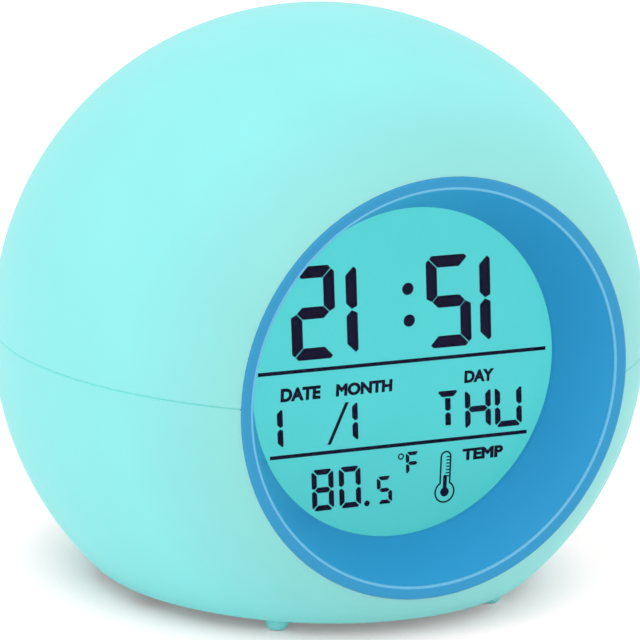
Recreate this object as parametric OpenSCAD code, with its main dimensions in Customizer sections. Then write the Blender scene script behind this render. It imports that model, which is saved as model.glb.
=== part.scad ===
// Ball-shaped bedside alarm clock for children with a night light.
// Two translucent half shells close over a round display module at the front,
// a control panel with six keys at the rear and a battery box in the flat base.
// The origin lies on the table under the middle of the footprint, +Z is up
// and the display faces -Y. Each piece is drawn about the ball's centre.

/* [Ball] */
// Diameter of the ball
ball_d = 100; // [98:1:120]
// Wall of the two half shells
wall = 2; // [1.6:0.1:2.6]
// Depth of the flat base below the ball's centre
base_drop = 36.4; // [35:0.1:37]
// Radius that rounds the edge of the base
base_round = 1.5; // [0.5:0.1:2.5]
// Depth of the V groove along the seam of the half shells
seam_v = 0.2; // [0.1:0.05:0.6]
// Height of the tongue that centres the upper shell in the lower one
tongue_h = 1.5; // [1:0.1:3]

/* [Feet] */
// Height of a foot below the base
foot_h = 2.2; // [1:0.1:4]
// Diameter of a foot
foot_d = 3.6; // [3:0.1:5]
// Distance from the left feet to the right feet
foot_span_x = 36; // [30:1:38]
// Distance from the front feet to the rear feet
foot_span_y = 50; // [47:1:52]

/* [Bezel] */
// Outer diameter of the bezel
bezel_d = 63.2; // [62:0.2:66]
// Height by which the rim stands proud of the ball
bezel_proud = 0.4; // [0:0.1:1.5]
// Width of the lip round the rim
lip_w = 1.9; // [1.4:0.1:2.4]
// Fall of the lip towards the recess
lip_fall = 0.5; // [0.2:0.1:1]
// Depth of the display behind the rim
recess_depth = 10.2; // [9:0.1:11]
// Diameter of the visible display
display_d = 50.2; // [48:0.2:51]
// Wall of the bezel
bezel_t = 1.6; // [1.2:0.1:1.8]

/* [Display stack] */
// Thickness of the clear window
window_t = 1; // [0.8:0.1:1.5]
// Thickness of one plate of the display glass
glass_t = 0.9; // [0.7:0.1:1.1]
// Thickness of the light guide
guide_t = 2; // [1.5:0.1:2.4]
// Thickness of a circuit board
board_t = 1.2; // [1:0.1:1.6]

/* [Rear panel] */
// Diameter of the rear panel
panel_d = 48.8; // [48:0.2:54]
// Diameter of a key
key_d = 6.2; // [5.4:0.1:6.8]
// Distance of a column of keys from the middle of the panel
key_x = 15.8; // [15.4:0.1:17]
// Distance from one key to the next in a column
key_pitch = 9; // [8.8:0.1:9.6]
// Height by which a key stands proud of the panel
key_proud = 1; // [0.8:0.1:1.6]
// Travel of a key
key_travel = 0.5; // [0.3:0.1:0.7]
// Diameter of the loudspeaker
speaker_d = 20; // [16:0.5:20]
// Diameter of a sound hole
sound_hole_d = 1.4; // [1:0.1:1.8]
// Distance between neighbouring sound holes
sound_pitch = 3.1; // [2.6:0.1:3.4]
// Depth of the power inlet's middle below the middle of the panel
inlet_drop = 16.5; // [16:0.1:18]

/* [Batteries] */
// Diameter of a cell
cell_d = 10.5; // [10.1:0.1:10.7]
// Length of a cell with its positive nub
cell_l = 44.5; // [43.5:0.1:44.8]
// Distance from one cell's axis to the next
cell_pitch = 11.1; // [10.9:0.1:11.4]
// Wall of the battery box
box_wall = 1.5; // [1.2:0.1:1.8]
// Thickness of the battery door
door_t = 1.8; // [1.4:0.1:2]
// Width of the ledge that the door closes on
ledge_w = 1.6; // [1.3:0.1:1.8]

/* [Night light] */
// Diameter of the board that carries the lamps
light_board_d = 34; // [30:1:36]
// Width of a lamp
lamp_w = 5; // [3.5:0.5:5.5]
// Number of lamps in the ring
lamp_count = 6; // [4:1:8]

/* [Fits] */
// Gap between pieces that seat in each other
seat_gap = 0.1; // [0.05:0.05:0.2]
// Gap round a piece that slides or swings
slide_gap = 0.2; // [0.15:0.05:0.3]
// Diameter of the small screws' threads
screw_d = 2; // [1.8:0.1:2.2]

/* [Hidden] */
$fn = 96;
ball_r = ball_d / 2;
inner_r = ball_r - wall;
big = 2 * ball_d;
eps = 0.01;

// Distances called d run forwards from the ball's centre and those called b backwards.
bezel_r = bezel_d / 2;
display_r = display_d / 2;
rim_d = sqrt(pow(ball_r, 2) - pow(bezel_r, 2)) + bezel_proud;
lip_r = bezel_r - lip_w;
lip_d = rim_d - lip_fall;
face_d = rim_d - recess_depth;
face_edge = 0.8;
seat_d = face_d - face_edge;
rim_round = 0.5;
skirt_in_r = bezel_r - bezel_t;
funnel_slope = (lip_r - display_r) / (lip_d - face_d);
funnel_t = bezel_t * norm([1, funnel_slope]);
notch_d = face_d + (skirt_in_r - funnel_t - display_r) / funnel_slope;
step_d = seat_d + bezel_t;

// The shells hold the bezel and the panel by a flange in a groove.
flange_w = 2.4;
flange_t = 1.8;
flange_depth = 4.75;
flange_r = bezel_r + flange_w;
flange_d = rim_d - flange_depth;
rib_t = 1.4;

// Display stack, from the window back to the main board
glass_half = display_r + 0.6;
collar_in_r = glass_half / cos(180 / 8) + 1;
collar_out_r = collar_in_r + 1.4;
window_back = seat_d - window_t;
rear_glass_d = window_back - glass_t;
guide_d = rear_glass_d - glass_t;
film_t = 0.3;
film_d = guide_d - guide_t;
board_front = film_d - film_t;
board_back = board_front - board_t;
contact_half = 7.5;
contact_drop = sqrt(pow(collar_in_r, 2) - pow(contact_half, 2)) - slide_gap;
strip_w = 1.4;
boss_r = 2.2;
boss_ring_r = collar_out_r + boss_r - 0.5;

// Parts on the back of the main board
capacitor_r = 3;
capacitor_h = 7;
crystal_r = 1.6;
crystal_h = 5;
chip_w = 6;
chip_h = 4;
chip_t = 1.5;
parts_x = 10;
parts_z = 12;
tap_x = 2;
tap_z = 20;
tap_l = 8.5;
tap_r = 2.3;

// Screws
thread_r = screw_d / 2;
pilot_r = thread_r + 0.05;
pass_r = thread_r + 0.2;
head_r = screw_d * 0.9;
head_h = screw_d * 0.65;
board_screw_l = 6;

// Rear panel
panel_r = panel_d / 2;
panel_skirt_in = panel_r - 1.6;
panel_flange_w = 1.8;
panel_flange_t = 1.4;
panel_edge_b = sqrt(pow(ball_r, 2) - pow(panel_r, 2));
panel_flange_b = panel_edge_b - 3.6;
key_r = key_d / 2;
guide_r = key_r + slide_gap + 0.9;
key_far_r = norm([key_x, key_pitch]) + guide_r;
guide_b = sqrt(pow(inner_r, 2) - pow(key_far_r, 2)) - 0.3;
collar_b = guide_b - slide_gap;
collar_t = 0.8;
switch_top_b = collar_b - collar_t - key_travel - 0.3;
switch_h = 3.6;
switch_w = 6;
plunger_r = 1.6;
plunger_in = 0.8;
key_board_b = switch_top_b - switch_h;
key_board_r = panel_skirt_in - 0.6;
post_x = 8.5;
post_z = 16.5;
speaker_r = speaker_d / 2;
speaker_t = 4.2;
cup_r = speaker_r + seat_gap + 1.1;
speaker_b = sqrt(pow(inner_r, 2) - pow(cup_r, 2)) - 0.4;
inlet_w = 7.5;
inlet_t = 2.6;
inlet_wall = 0.3;
inlet_reach = 12;
inlet_b = sqrt(pow(ball_r, 2) - pow(inlet_drop, 2)) - 0.8;

// Battery box
base_z = -base_drop;
floor_z = base_z + wall;
base_r = sqrt(pow(ball_r, 2) - pow(base_drop, 2));
ledge_z = base_z + door_t + slide_gap;
cell_r = cell_d / 2;
cell_count = 3;
cell_z = ledge_z + 0.5 + cell_r;
roof_z = cell_z + cell_r + 0.3;
roof_top = roof_z + box_wall;
plate_t = 0.4;
spring_l = 4;
box_x = cell_l + spring_l + 2 * plate_t;
box_y = (cell_count - 1) * cell_pitch + cell_d + 0.8;
door_x = box_x + 2 * ledge_w - 2 * slide_gap;
door_y = box_y + 2 * ledge_w - 2 * slide_gap;
door_round = 2.5;
hinge_y = -door_y / 2 + door_t / 2;
hinge_z = base_z + door_t / 2;
barrel_l = door_x - 2 * door_round
    + 2 * sqrt(pow(door_round, 2) - pow(door_round - door_t / 2, 2));
tab_w = 6;
tab_t = 1;
tab_out = 2.4;
tab_x = door_x / 2 - 9;
tab_z = floor_z + slide_gap;
pocket_r = norm([tab_out + door_t / 2, tab_z + tab_t - hinge_z]) + slide_gap;
latch_w = 12;
latch_l = 9;
hook_w = 7;
hook_h = 2.2;
nub_h = 0.9;
nub_r = 1.9;

// Long screws that close the ball
joint_z = -4;
joint_post_r = 2.8;
joint_well_r = 2.4;
joint_boss_r = joint_well_r + 1.1;
joint_x = door_x / 2 + slide_gap + box_wall + joint_well_r + 0.25;
joint_y = 7;
joint_seat_z = joint_z - 4;
joint_thread_r = 1.3;
joint_screw_l = 12;
joint_head_h = 1.6;

// Night light board
light_y = 5;
light_stand = 3.6;
light_z = roof_top + light_stand;
light_post_r = screw_d;
light_post_ring = light_board_d / 2 - 1.5 * light_post_r;
light_screw_grip = 1.2 * screw_d;
lamp_h = 0.32 * lamp_w;
lamp_window_r = 0.4 * lamp_w;
lamp_ring_r = light_post_ring - head_r - lamp_w / 2 - 0.5;

// Flat leads between the boards
lead_t = 0.5;
lead_w = 6;
plug_w = 8.5;
plug_h = 3.4;
plug_l = 2.6;
lead_drop = 1.9;
lead_z = light_z - lead_drop;
lead_sag = 0.6;

ball_z = foot_h + base_drop;
ball_y = (rim_d - ball_r) / 2;

shell_aqua = "#9DF3F2";
bezel_blue = "#389DD1";
board_green = "#2E7D4F";
part_white = "#F1F3F2";
part_black = "#26282B";
steel = "#C9CDD1";

// ---------- placing ----------

module at_ball() {
    translate([0, ball_y, ball_z]) children();
}

// Local +Z forwards, out of the display
module forwards() {
    rotate([90, 0, 0]) children();
}

// Local +Z backwards, out of the rear panel
module backwards() {
    rotate([-90, 0, 0]) children();
}

module front_rod(x, z, from, to, r) {
    translate([x, -from, z]) forwards() cylinder(h = to - from, r = r);
}

module rear_rod(x, z, from, to, r) {
    translate([x, from, z]) backwards() cylinder(h = to - from, r = r);
}

module four_ways(x, y) {
    for (sx = [-1, 1], sy = [-1, 1]) translate([sx * x, sy * y, 0]) children();
}

module round_rect(w, h, r) {
    square([w - 2 * r, h], center = true);
    square([w, h - 2 * r], center = true);
    for (sx = [-1, 1], sy = [-1, 1])
        translate([sx * (w / 2 - r), sy * (h / 2 - r)]) circle(r);
}

module block(w, h, from, to) {
    translate([-w / 2, -h / 2, from]) cube([w, h, to - from]);
}

// Pan-head screw along +Z, its head's seat at z = 0 and its thread upwards
module screw(length, r, h_r, h_h) {
    difference() {
        union() {
            cylinder(h = length, r = r);
            translate([0, 0, -h_h]) cylinder(h = h_h, r = h_r);
        }
        for (turn = [0, 90])
            rotate(turn) block(h_r * 1.2, h_r * 0.3, -h_h - 1, -h_h / 2);
    }
}

// ---------- half shells ----------

// Sliver outside the round that joins the ball to its flat base
module base_edge_cut() {
    round_x = sqrt(pow(ball_r - base_round, 2) - pow(base_drop - base_round, 2));
    round_z = base_z + base_round;
    reach = ball_r / (ball_r - base_round);
    rotate_extrude() difference() {
        polygon([
            [round_x, round_z],
            [round_x, base_z - 1],
            [round_x * reach * 1.05, base_z - 1],
            [round_x * reach * 1.05, round_z * reach * 1.05],
        ]);
        translate([round_x, round_z]) circle(base_round);
    }
}

module hollow_ball() {
    difference() {
        intersection() {
            sphere(ball_r);
            block(big, big, base_z, ball_r);
        }
        intersection() {
            sphere(inner_r);
            block(big, big, floor_z, ball_r);
        }
        base_edge_cut();
    }
}

// Thick ring behind an opening's edge, before its groove is cut
module seat_ring(r, from) {
    intersection() {
        sphere(ball_r - 0.4);
        translate([0, 0, from]) cylinder(h = ball_r, r = r);
    }
}

// Opening with the groove that takes a flange
module seat_cut(open_r, groove_r, from, to) {
    translate([0, 0, from - rib_t - 1]) cylinder(h = ball_r, r = open_r + seat_gap);
    translate([0, 0, from - seat_gap])
        cylinder(h = to - from + 2 * seat_gap, r = groove_r + seat_gap);
}

module front_ring() {
    forwards() seat_ring(flange_r + rib_t, flange_d - flange_t - rib_t);
}

module rear_ring() {
    backwards() seat_ring(
        panel_r + panel_flange_w + rib_t, panel_flange_b - panel_flange_t - rib_t
    );
}

module ringed_ball() {
    difference() {
        union() {
            hollow_ball();
            front_ring();
            rear_ring();
        }
        forwards() seat_cut(bezel_r, flange_r, flange_d - flange_t, flange_d);
        backwards() seat_cut(
            panel_r, panel_r + panel_flange_w,
            panel_flange_b - panel_flange_t, panel_flange_b
        );
        rotate_extrude() polygon([
            [ball_r - seam_v, 0],
            [ball_r + 1, seam_v + 1],
            [ball_r + 1, -seam_v - 1],
        ]);
    }
}

// Everything in front of or behind the seam's plain stretches
module ring_keepout() {
    forwards() cylinder(h = ball_r, r = flange_r + rib_t + 1);
    backwards() cylinder(h = ball_r, r = panel_r + panel_flange_w + rib_t + 1);
}

module upper_shell() {
    at_ball() color(shell_aqua) difference() {
        union() {
            intersection() {
                ringed_ball();
                block(big, big, 0, ball_r);
            }
            // tongue inside the lower shell
            difference() {
                translate([0, 0, -tongue_h])
                    cylinder(h = tongue_h + 0.5, r = ball_r - wall / 2 - seat_gap);
                translate([0, 0, -tongue_h - 1])
                    cylinder(h = tongue_h + 2, r = inner_r + 0.1);
                ring_keepout();
            }
            // posts that take the long screws
            intersection() {
                four_ways(joint_x, joint_y) translate([0, 0, joint_z + seat_gap])
                    cylinder(h = ball_r, r = joint_post_r);
                sphere(ball_r - wall / 2);
            }
        }
        four_ways(joint_x, joint_y) translate([0, 0, joint_z - 1])
            cylinder(h = joint_screw_l, r = joint_thread_r + 0.05);
    }
}

module battery_walls() {
    foot_x = door_x + 2 * slide_gap + 2 * box_wall;
    foot_y = door_y + 2 * slide_gap + 2 * box_wall;
    difference() {
        union() {
            block(box_x + 2 * box_wall, box_y + 2 * box_wall, floor_z - eps, roof_top);
            block(foot_x, foot_y, floor_z - wall / 2, ledge_z + box_wall);
        }
        block(box_x, box_y, base_z - 1, roof_z);
        // pockets that the door's tabs swing up into
        intersection() {
            for (side = [-1, 1])
                translate([side * tab_x, hinge_y, hinge_z])
                    rotate([0, 90, 0])
                        cylinder(h = tab_w + 2 * slide_gap, r = pocket_r, center = true);
            block(big, big, floor_z, roof_z);
        }
        // pocket for the latch's hook
        translate([0, door_y / 2 - hook_h / 2 + slide_gap, 0])
            block(hook_w + 1.2, hook_h, base_z, ledge_z + hook_h);
    }
    // saddles that hold the cells from above
    for (side = [-1, 1]) translate([side * box_x / 4, 0, 0])
        rotate([90, 0, 90]) linear_extrude(1.4, center = true) difference() {
            translate([-box_y / 2 - eps, cell_z + 1])
                square([box_y + 2 * eps, roof_z - cell_z - 1 + eps]);
            for (i = [-1:1])
                translate([i * cell_pitch, cell_z]) circle(cell_r + 0.15);
        }
}

module lower_shell() {
    at_ball() color(shell_aqua) difference() {
        union() {
            difference() {
                intersection() {
                    ringed_ball();
                    block(big, big, base_z, 0);
                }
                // rebate for the upper shell's tongue
                difference() {
                    translate([0, 0, -tongue_h - seat_gap])
                        cylinder(h = tongue_h + 1, r = ball_r - wall / 2);
                    ring_keepout();
                }
            }
            battery_walls();
            // wells for the long screws
            intersection() {
                four_ways(joint_x, joint_y) translate([0, 0, base_z + wall / 2])
                    cylinder(h = joint_z - base_z - wall / 2, r = joint_boss_r);
                sphere(ball_r - wall / 2);
            }
            // stand-offs under the night light board
            translate([0, light_y, roof_top - eps]) light_posts(light_stand + eps);
            feet();
        }
        // doorway
        translate([0, 0, base_z - 1]) linear_extrude(ledge_z - base_z + 1)
            round_rect(door_x + 2 * slide_gap, door_y + 2 * slide_gap, door_round);
        // square corners at the hinge, where the door's round corners swing down
        translate([0, door_round - door_y / 2 - slide_gap, 0])
            block(door_x + 2 * slide_gap, 2 * door_round, base_z - 1, ledge_z);
        four_ways(joint_x, joint_y) {
            translate([0, 0, base_z - 1])
                cylinder(h = joint_seat_z - base_z + 1, r = joint_well_r);
            translate([0, 0, base_z]) cylinder(h = -base_z, r = joint_thread_r + 0.25);
        }
        translate([0, light_y, roof_top + 0.4]) light_holes(light_stand, pilot_r);
    }
}

// Nubs moulded on the base, each with a small flat that rests on the table
module feet() {
    foot_r = foot_d / 2;
    round_r = foot_r * 0.6;
    h = foot_h + wall / 2;
    four_ways(foot_span_x / 2, foot_span_y / 2) translate([0, 0, base_z - foot_h])
        rotate_extrude() intersection() {
            square([foot_r, h]);
            union() {
                translate([foot_r - round_r, round_r]) circle(round_r);
                square([foot_r - round_r, h]);
                translate([0, round_r]) square([foot_r, h]);
            }
        }
}

module light_posts(h) {
    for (turn = [45, 135, 225, 315])
        rotate(turn) translate([light_post_ring, 0, 0]) cylinder(h = h, r = light_post_r);
}

module light_holes(h, r) {
    for (turn = [45, 135, 225, 315])
        rotate(turn) translate([light_post_ring, 0, 0]) cylinder(h = h, r = r);
}

module shell_screws() {
    at_ball() color(steel) four_ways(joint_x, joint_y)
        translate([0, 0, joint_seat_z - seat_gap])
            screw(joint_screw_l, joint_thread_r, joint_well_r - slide_gap, joint_head_h);
}

// ---------- display module ----------

module bezel() {
    at_ball() color(bezel_blue) difference() {
        union() {
            forwards() rotate_extrude() {
                polygon([
                    [display_r, face_d],
                    [lip_r, lip_d],
                    [bezel_r - rim_round, rim_d],
                    [bezel_r, rim_d - rim_round],
                    [bezel_r, flange_d],
                    [flange_r, flange_d],
                    [flange_r, flange_d - flange_t],
                    [skirt_in_r, flange_d - flange_t],
                    [skirt_in_r, notch_d],
                    [display_r + funnel_t + funnel_slope * (step_d - face_d), step_d],
                    [collar_out_r, step_d],
                    [collar_out_r, board_front],
                    [collar_in_r, board_front],
                    [collar_in_r, seat_d],
                    [display_r, seat_d],
                ]);
                translate([bezel_r - rim_round, rim_d - rim_round]) circle(rim_round);
            }
            bezel_bosses(board_front, step_d, boss_r);
        }
        bezel_bosses(board_front - 1, step_d - 1, pilot_r);
        forwards() translate([0, 0, board_front - 1])
            cylinder(h = seat_d - board_front + 1, r = collar_in_r);
    }
}

// Rods on the corners of the display module
module bezel_bosses(from, to, r) {
    for (sx = [-1, 1], sz = [-1, 1])
        front_rod(sx * boss_ring_r * cos(45), sz * boss_ring_r * sin(45), from, to, r);
}

module display_window() {
    at_ball() color("#E8F4F4", 0.4)
        front_rod(0, 0, window_back, seat_d, collar_in_r - seat_gap);
}

module eight_sided(from, to) {
    forwards() translate([0, 0, from]) rotate(180 / 8)
        cylinder(h = to - from, r = glass_half / cos(180 / 8), $fn = 8);
}

// Two bonded plates, the front one with a contact ledge along its bottom
module display_glass() {
    at_ball() color("#5ACFD0") {
        eight_sided(guide_d, window_back);
        translate([-contact_half, -window_back, -contact_drop])
            cube([2 * contact_half, glass_t, contact_drop - display_r]);
    }
}

module light_guide() {
    at_ball() color("#DDF7F6") eight_sided(film_d, guide_d);
}

module reflector_film() {
    at_ball() color(part_white) eight_sided(board_front, film_d);
}

module backlight_lamps() {
    at_ball() color(part_white) for (side = [-1, 1])
        translate([side * (glass_half + 0.35 * guide_t), -board_front, 0])
            rotate([90, 0, 0]) block(0.55 * guide_t, 1.9 * guide_t, 0, 0.9 * guide_t);
}

// Striped rubber strip that joins the glass to the board
module contact_strip() {
    at_ball() color("#D98C9A")
        translate([-contact_half, -rear_glass_d, -contact_drop + 0.2])
            cube([2 * contact_half, rear_glass_d - board_front, strip_w]);
}

module main_board() {
    at_ball() color(board_green) difference() {
        union() {
            front_rod(0, 0, board_back, board_front, collar_out_r);
            bezel_bosses(board_back, board_front, boss_r + 0.4);
        }
        bezel_bosses(board_back - 1, board_front + 1, pass_r);
    }
}

module controller_blob() {
    blob_r = 6.5;
    blob_h = 1.8;
    cap_r = (pow(blob_r, 2) + pow(blob_h, 2)) / (2 * blob_h);
    at_ball() color(part_black) translate([-6, -board_back, 8]) backwards()
        intersection() {
            translate([0, 0, blob_h - cap_r]) sphere(cap_r);
            cylinder(h = blob_h + 1, r = blob_r + 1);
        }
}

// Crystal, capacitor and two small chips on the back of the main board
module board_parts() {
    at_ball() color(part_black) {
        rear_rod(parts_x, parts_z, -board_back, -board_back + capacitor_h, capacitor_r);
        rear_rod(
            parts_x + crystal_r, parts_z / 3, -board_back, -board_back + crystal_h, crystal_r
        );
        for (side = [-1, 1])
            translate([side * parts_x - chip_w / 2, -board_back, -parts_z / 2])
                cube([chip_w, chip_t, chip_h]);
    }
}

// Sealed can with the spring that feels a tap on the ball
module tap_sensor() {
    at_ball() color(steel) rear_rod(tap_x, tap_z, -board_back, -board_back + tap_l, tap_r);
}

module board_screws() {
    at_ball() color(steel)
        for (sx = [-1, 1], sz = [-1, 1])
            translate([sx * boss_ring_r * cos(45), -board_back, sz * boss_ring_r * sin(45)])
                forwards() screw(board_screw_l, thread_r, head_r, head_h);
}

// ---------- night light ----------

module light_board() {
    at_ball() color(part_white) translate([0, light_y, light_z]) difference() {
        cylinder(h = board_t, r = light_board_d / 2);
        translate([0, 0, -1]) light_holes(board_t + 2, pass_r);
    }
}

module lamp() {
    difference() {
        block(lamp_w, lamp_w, 0, lamp_h);
        translate([0, 0, lamp_h * 0.75]) cylinder(h = lamp_h, r = lamp_window_r);
    }
}

module light_lamps() {
    at_ball() color(part_white) translate([0, light_y, light_z + board_t]) {
        lamp();
        for (i = [0:lamp_count - 1])
            rotate(i * 360 / lamp_count) translate([lamp_ring_r, 0, 0]) lamp();
    }
}

module light_board_screws() {
    at_ball() color(steel) translate([0, light_y, light_z + board_t])
        for (turn = [45, 135, 225, 315])
            rotate(turn) translate([light_post_ring, 0, 0])
                mirror([0, 0, 1])
                    screw(board_t + light_screw_grip, thread_r, head_r, head_h);
}

// Flat strip along Y that hangs in a shallow arc between two ends
module hanging_strip(from, to, z, w, t, sag) {
    half = (to - from) / 2;
    bend_r = (pow(half, 2) + pow(sag, 2)) / (2 * sag);
    translate([0, from + half, z]) rotate([90, 0, 90])
        linear_extrude(w, center = true) intersection() {
            translate([0, bend_r - sag]) difference() {
                circle(bend_r + t / 2, $fn = 720);
                circle(bend_r - t / 2, $fn = 720);
            }
            translate([-half, -sag - t]) square([2 * half, sag + 2 * t]);
        }
}

// Lead from the night light board to the main board
module light_lead() {
    at_ball() color(part_white)
        hanging_strip(
            -board_back, light_y - light_board_d / 2,
            light_z + board_t / 2, lead_w, lead_t, lead_sag
        );
}

// Lead from the main board to the key board, over the battery box
module ribbon_lead() {
    at_ball() color("#8FA0AA")
        hanging_strip(
            -board_back + plug_l, key_board_b - board_t - plug_l,
            lead_z, lead_w, lead_t, lead_sag
        );
}

module ribbon_plugs() {
    at_ball() color(part_white) {
        translate([-plug_w / 2, -board_back, lead_z - plug_h / 2])
            cube([plug_w, plug_l, plug_h]);
        translate([-plug_w / 2, key_board_b - board_t - plug_l, lead_z - plug_h / 2])
            cube([plug_w, plug_l, plug_h]);
    }
}

// ---------- rear panel ----------

function key_spots() = [for (sx = [1, -1], row = [1, 0, -1]) [sx * key_x, row * key_pitch]];

module key_holes(r) {
    for (p = key_spots()) rear_rod(p[0], p[1], guide_b - 1, ball_r + 1, r);
}

function sound_spots() = concat(
    [[0, 0]],
    [for (ring = [1, 2], i = [0:6 * ring - 1])
        let (turn = i * 60 / ring)
        ring * sound_pitch * [cos(turn), sin(turn)]]
);

module inlet_outline(grow) {
    half = inlet_w / 2 + grow;
    top = inlet_t / 2 + grow;
    polygon([
        [-half, top], [half, top], [half, 0],
        [half - 0.9, -top], [-half + 0.9, -top], [-half, 0],
    ]);
}

module rear_panel() {
    at_ball() color(shell_aqua) difference() {
        union() {
            // domed face that carries the ball's form on
            difference() {
                intersection() {
                    sphere(ball_r);
                    rear_rod(0, 0, panel_flange_b - panel_flange_t, ball_r + 1, panel_r);
                }
                difference() {
                    sphere(inner_r);
                    backwards() difference() {
                        cylinder(h = ball_r, r = panel_r + 1);
                        cylinder(h = ball_r, r = panel_skirt_in);
                    }
                }
            }
            // flange that the shells hold
            backwards() translate([0, 0, panel_flange_b - panel_flange_t]) difference() {
                cylinder(h = panel_flange_t, r = panel_r + panel_flange_w);
                translate([0, 0, -1])
                    cylinder(h = panel_flange_t + 2, r = panel_skirt_in);
            }
            intersection() {
                union() {
                    for (p = key_spots())
                        rear_rod(p[0], p[1], guide_b, ball_r, guide_r);
                    for (sx = [-1, 1], sz = [-1, 1])
                        rear_rod(sx * post_x, sz * post_z, key_board_b, ball_r, 2);
                    // cup for the loudspeaker
                    rear_rod(0, 0, speaker_b - speaker_t, ball_r, cup_r);
                }
                sphere(ball_r - wall / 2);
            }
        }
        rear_rod(0, 0, speaker_b - speaker_t - 1, speaker_b, speaker_r + seat_gap);
        rear_rod(0, 0, speaker_b - 1, speaker_b + 1.2, speaker_r - 1.2);
        key_holes(key_r + slide_gap);
        for (p = sound_spots())
            rear_rod(p[0], p[1], speaker_b, ball_r + 1, sound_hole_d / 2);
        for (sx = [-1, 1], sz = [-1, 1])
            rear_rod(sx * post_x, sz * post_z, key_board_b - 1, key_board_b + 5, pilot_r);
        translate([0, inner_r - inlet_reach, -inlet_drop]) rotate([90, 0, 180])
            linear_extrude(2 * inlet_reach) inlet_outline(0.4);
    }
}

// Key with its collar inside the panel and the plunger of its switch
module key(i) {
    p = key_spots()[i];
    at_ball() color(part_white) {
        intersection() {
            rear_rod(p[0], p[1], collar_b - collar_t, ball_r + 2, key_r);
            sphere(ball_r + key_proud);
        }
        rear_rod(p[0], p[1], collar_b - collar_t, collar_b, key_r + slide_gap + 0.6);
        rear_rod(
            p[0], p[1], switch_top_b - plunger_in, collar_b - collar_t + eps, plunger_r
        );
    }
}

module key_mode() { key(0); }
module key_set() { key(1); }
module key_light() { key(2); }
module key_up() { key(3); }
module key_down() { key(4); }
module key_alarm() { key(5); }

module key_board() {
    at_ball() color(board_green) difference() {
        rear_rod(0, 0, key_board_b - board_t, key_board_b, key_board_r);
        for (sx = [-1, 1], sz = [-1, 1])
            rear_rod(
                sx * post_x, sz * post_z, key_board_b - board_t - 1, key_board_b + 1, pass_r
            );
    }
}

module key_switches() {
    at_ball() color(part_black) for (p = key_spots()) difference() {
        translate([p[0] - switch_w / 2, key_board_b, p[1] - switch_w / 2])
            cube([switch_w, switch_h, switch_w]);
        rear_rod(
            p[0], p[1], switch_top_b - plunger_in - key_travel - 0.2,
            switch_top_b + 1, plunger_r + 0.15
        );
    }
}

module key_board_screws() {
    at_ball() color(steel) for (sx = [-1, 1], sz = [-1, 1])
        translate([sx * post_x, key_board_b - board_t, sz * post_z])
            backwards() screw(board_t + 2 * screw_d, thread_r, head_r, head_h);
}

module speaker() {
    cone_r = speaker_r - 1.2;
    at_ball() color(part_black) backwards()
        translate([0, 0, speaker_b - speaker_t]) rotate_extrude() polygon([
            [0, 0],
            [speaker_r * 0.6, 0],
            [speaker_r * 0.6, 1.6],
            [speaker_r, 2.4],
            [speaker_r, speaker_t],
            [cone_r, speaker_t],
            [cone_r, speaker_t - 0.5],
            [speaker_r * 0.35, speaker_t - 1.4],
            [0, speaker_t - 0.7],
        ]);
}

module power_inlet() {
    depth = 5;
    at_ball() color(steel) translate([0, inlet_b, -inlet_drop]) rotate([90, 0, 0]) {
        difference() {
            linear_extrude(inlet_b - key_board_b) inlet_outline(0);
            translate([0, 0, -1]) linear_extrude(depth + 1) inlet_outline(-inlet_wall);
        }
        block(4.6, 0.7, 0.5, depth + eps);
    }
}

// ---------- batteries ----------

module battery_door() {
    at_ball() color(shell_aqua) difference() {
        union() {
            intersection() {
                translate([0, 0, base_z]) linear_extrude(door_t)
                    round_rect(door_x, door_y, door_round);
                translate([-door_x, hinge_y, base_z - 1])
                    cube([2 * door_x, door_y, door_t + 2]);
            }
            translate([0, hinge_y, hinge_z]) rotate([0, 90, 0])
                cylinder(h = barrel_l, r = door_t / 2, center = true);
            // tabs that hook over the base
            for (side = [-1, 1]) translate([side * tab_x, 0, 0]) {
                translate([-tab_w / 2, -door_y / 2 - tab_out, tab_z])
                    cube([tab_w, tab_out + 2.4, tab_t]);
                translate([-tab_w / 2, hinge_y, hinge_z])
                    cube([tab_w, 2.4 - door_t / 2, tab_z - hinge_z + tab_t]);
            }
            // hook of the spring latch
            translate([-hook_w / 2, door_y / 2 - 1.4, hinge_z])
                cube([hook_w, 1.3, door_t / 2 + hook_h]);
            // stiffening ribs
            for (x = [-door_x / 4, 0, door_x / 4])
                translate([x - 0.5, -door_y / 2 + 4, hinge_z])
                    cube([1, door_y - 4 - latch_l - 2, door_t / 2 + 0.5]);
        }
        // slits that free the latch's tongue
        for (side = [-1, 1]) translate([side * latch_w / 2 - 0.4, door_y / 2 - latch_l, base_z - 1])
            cube([0.8, latch_l + 1, door_t + 2]);
        // dimple for a fingertip
        translate([0, door_y / 2 - latch_l / 2, base_z - 7.2]) sphere(8);
    }
}

// Cell along X with its positive nub towards +X or -X
module cell(row) {
    way = row % 2 == 0 ? 1 : -1;
    end_x = -box_x / 2 + plate_t + spring_l;
    at_ball() color("#3D6E9E")
        translate([0, row * cell_pitch, cell_z]) scale([way, 1, 1])
            translate([end_x, 0, 0]) rotate([0, 90, 0]) {
                cylinder(h = cell_l - nub_h, r = cell_r);
                cylinder(h = cell_l, r = nub_r);
            }
}

module cell_front() { cell(-1); }
module cell_middle() { cell(0); }
module cell_rear() { cell(1); }

module contact_plates() {
    at_ball() color(steel) for (row = [-1:1], side = [-1, 1])
        translate([side * (box_x - plate_t) / 2, row * cell_pitch, cell_z])
            cube([plate_t, cell_d - 2, cell_d - 3], center = true);
}

// Points of a cone-shaped coil, one ring of the wire's section each step
coil_turns = 3;
coil_steps = 16 * coil_turns;
coil_wire_r = 0.3;
coil_sides = 6;
coil_wide_r = 3.2;
coil_tip_r = 1.8;

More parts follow.
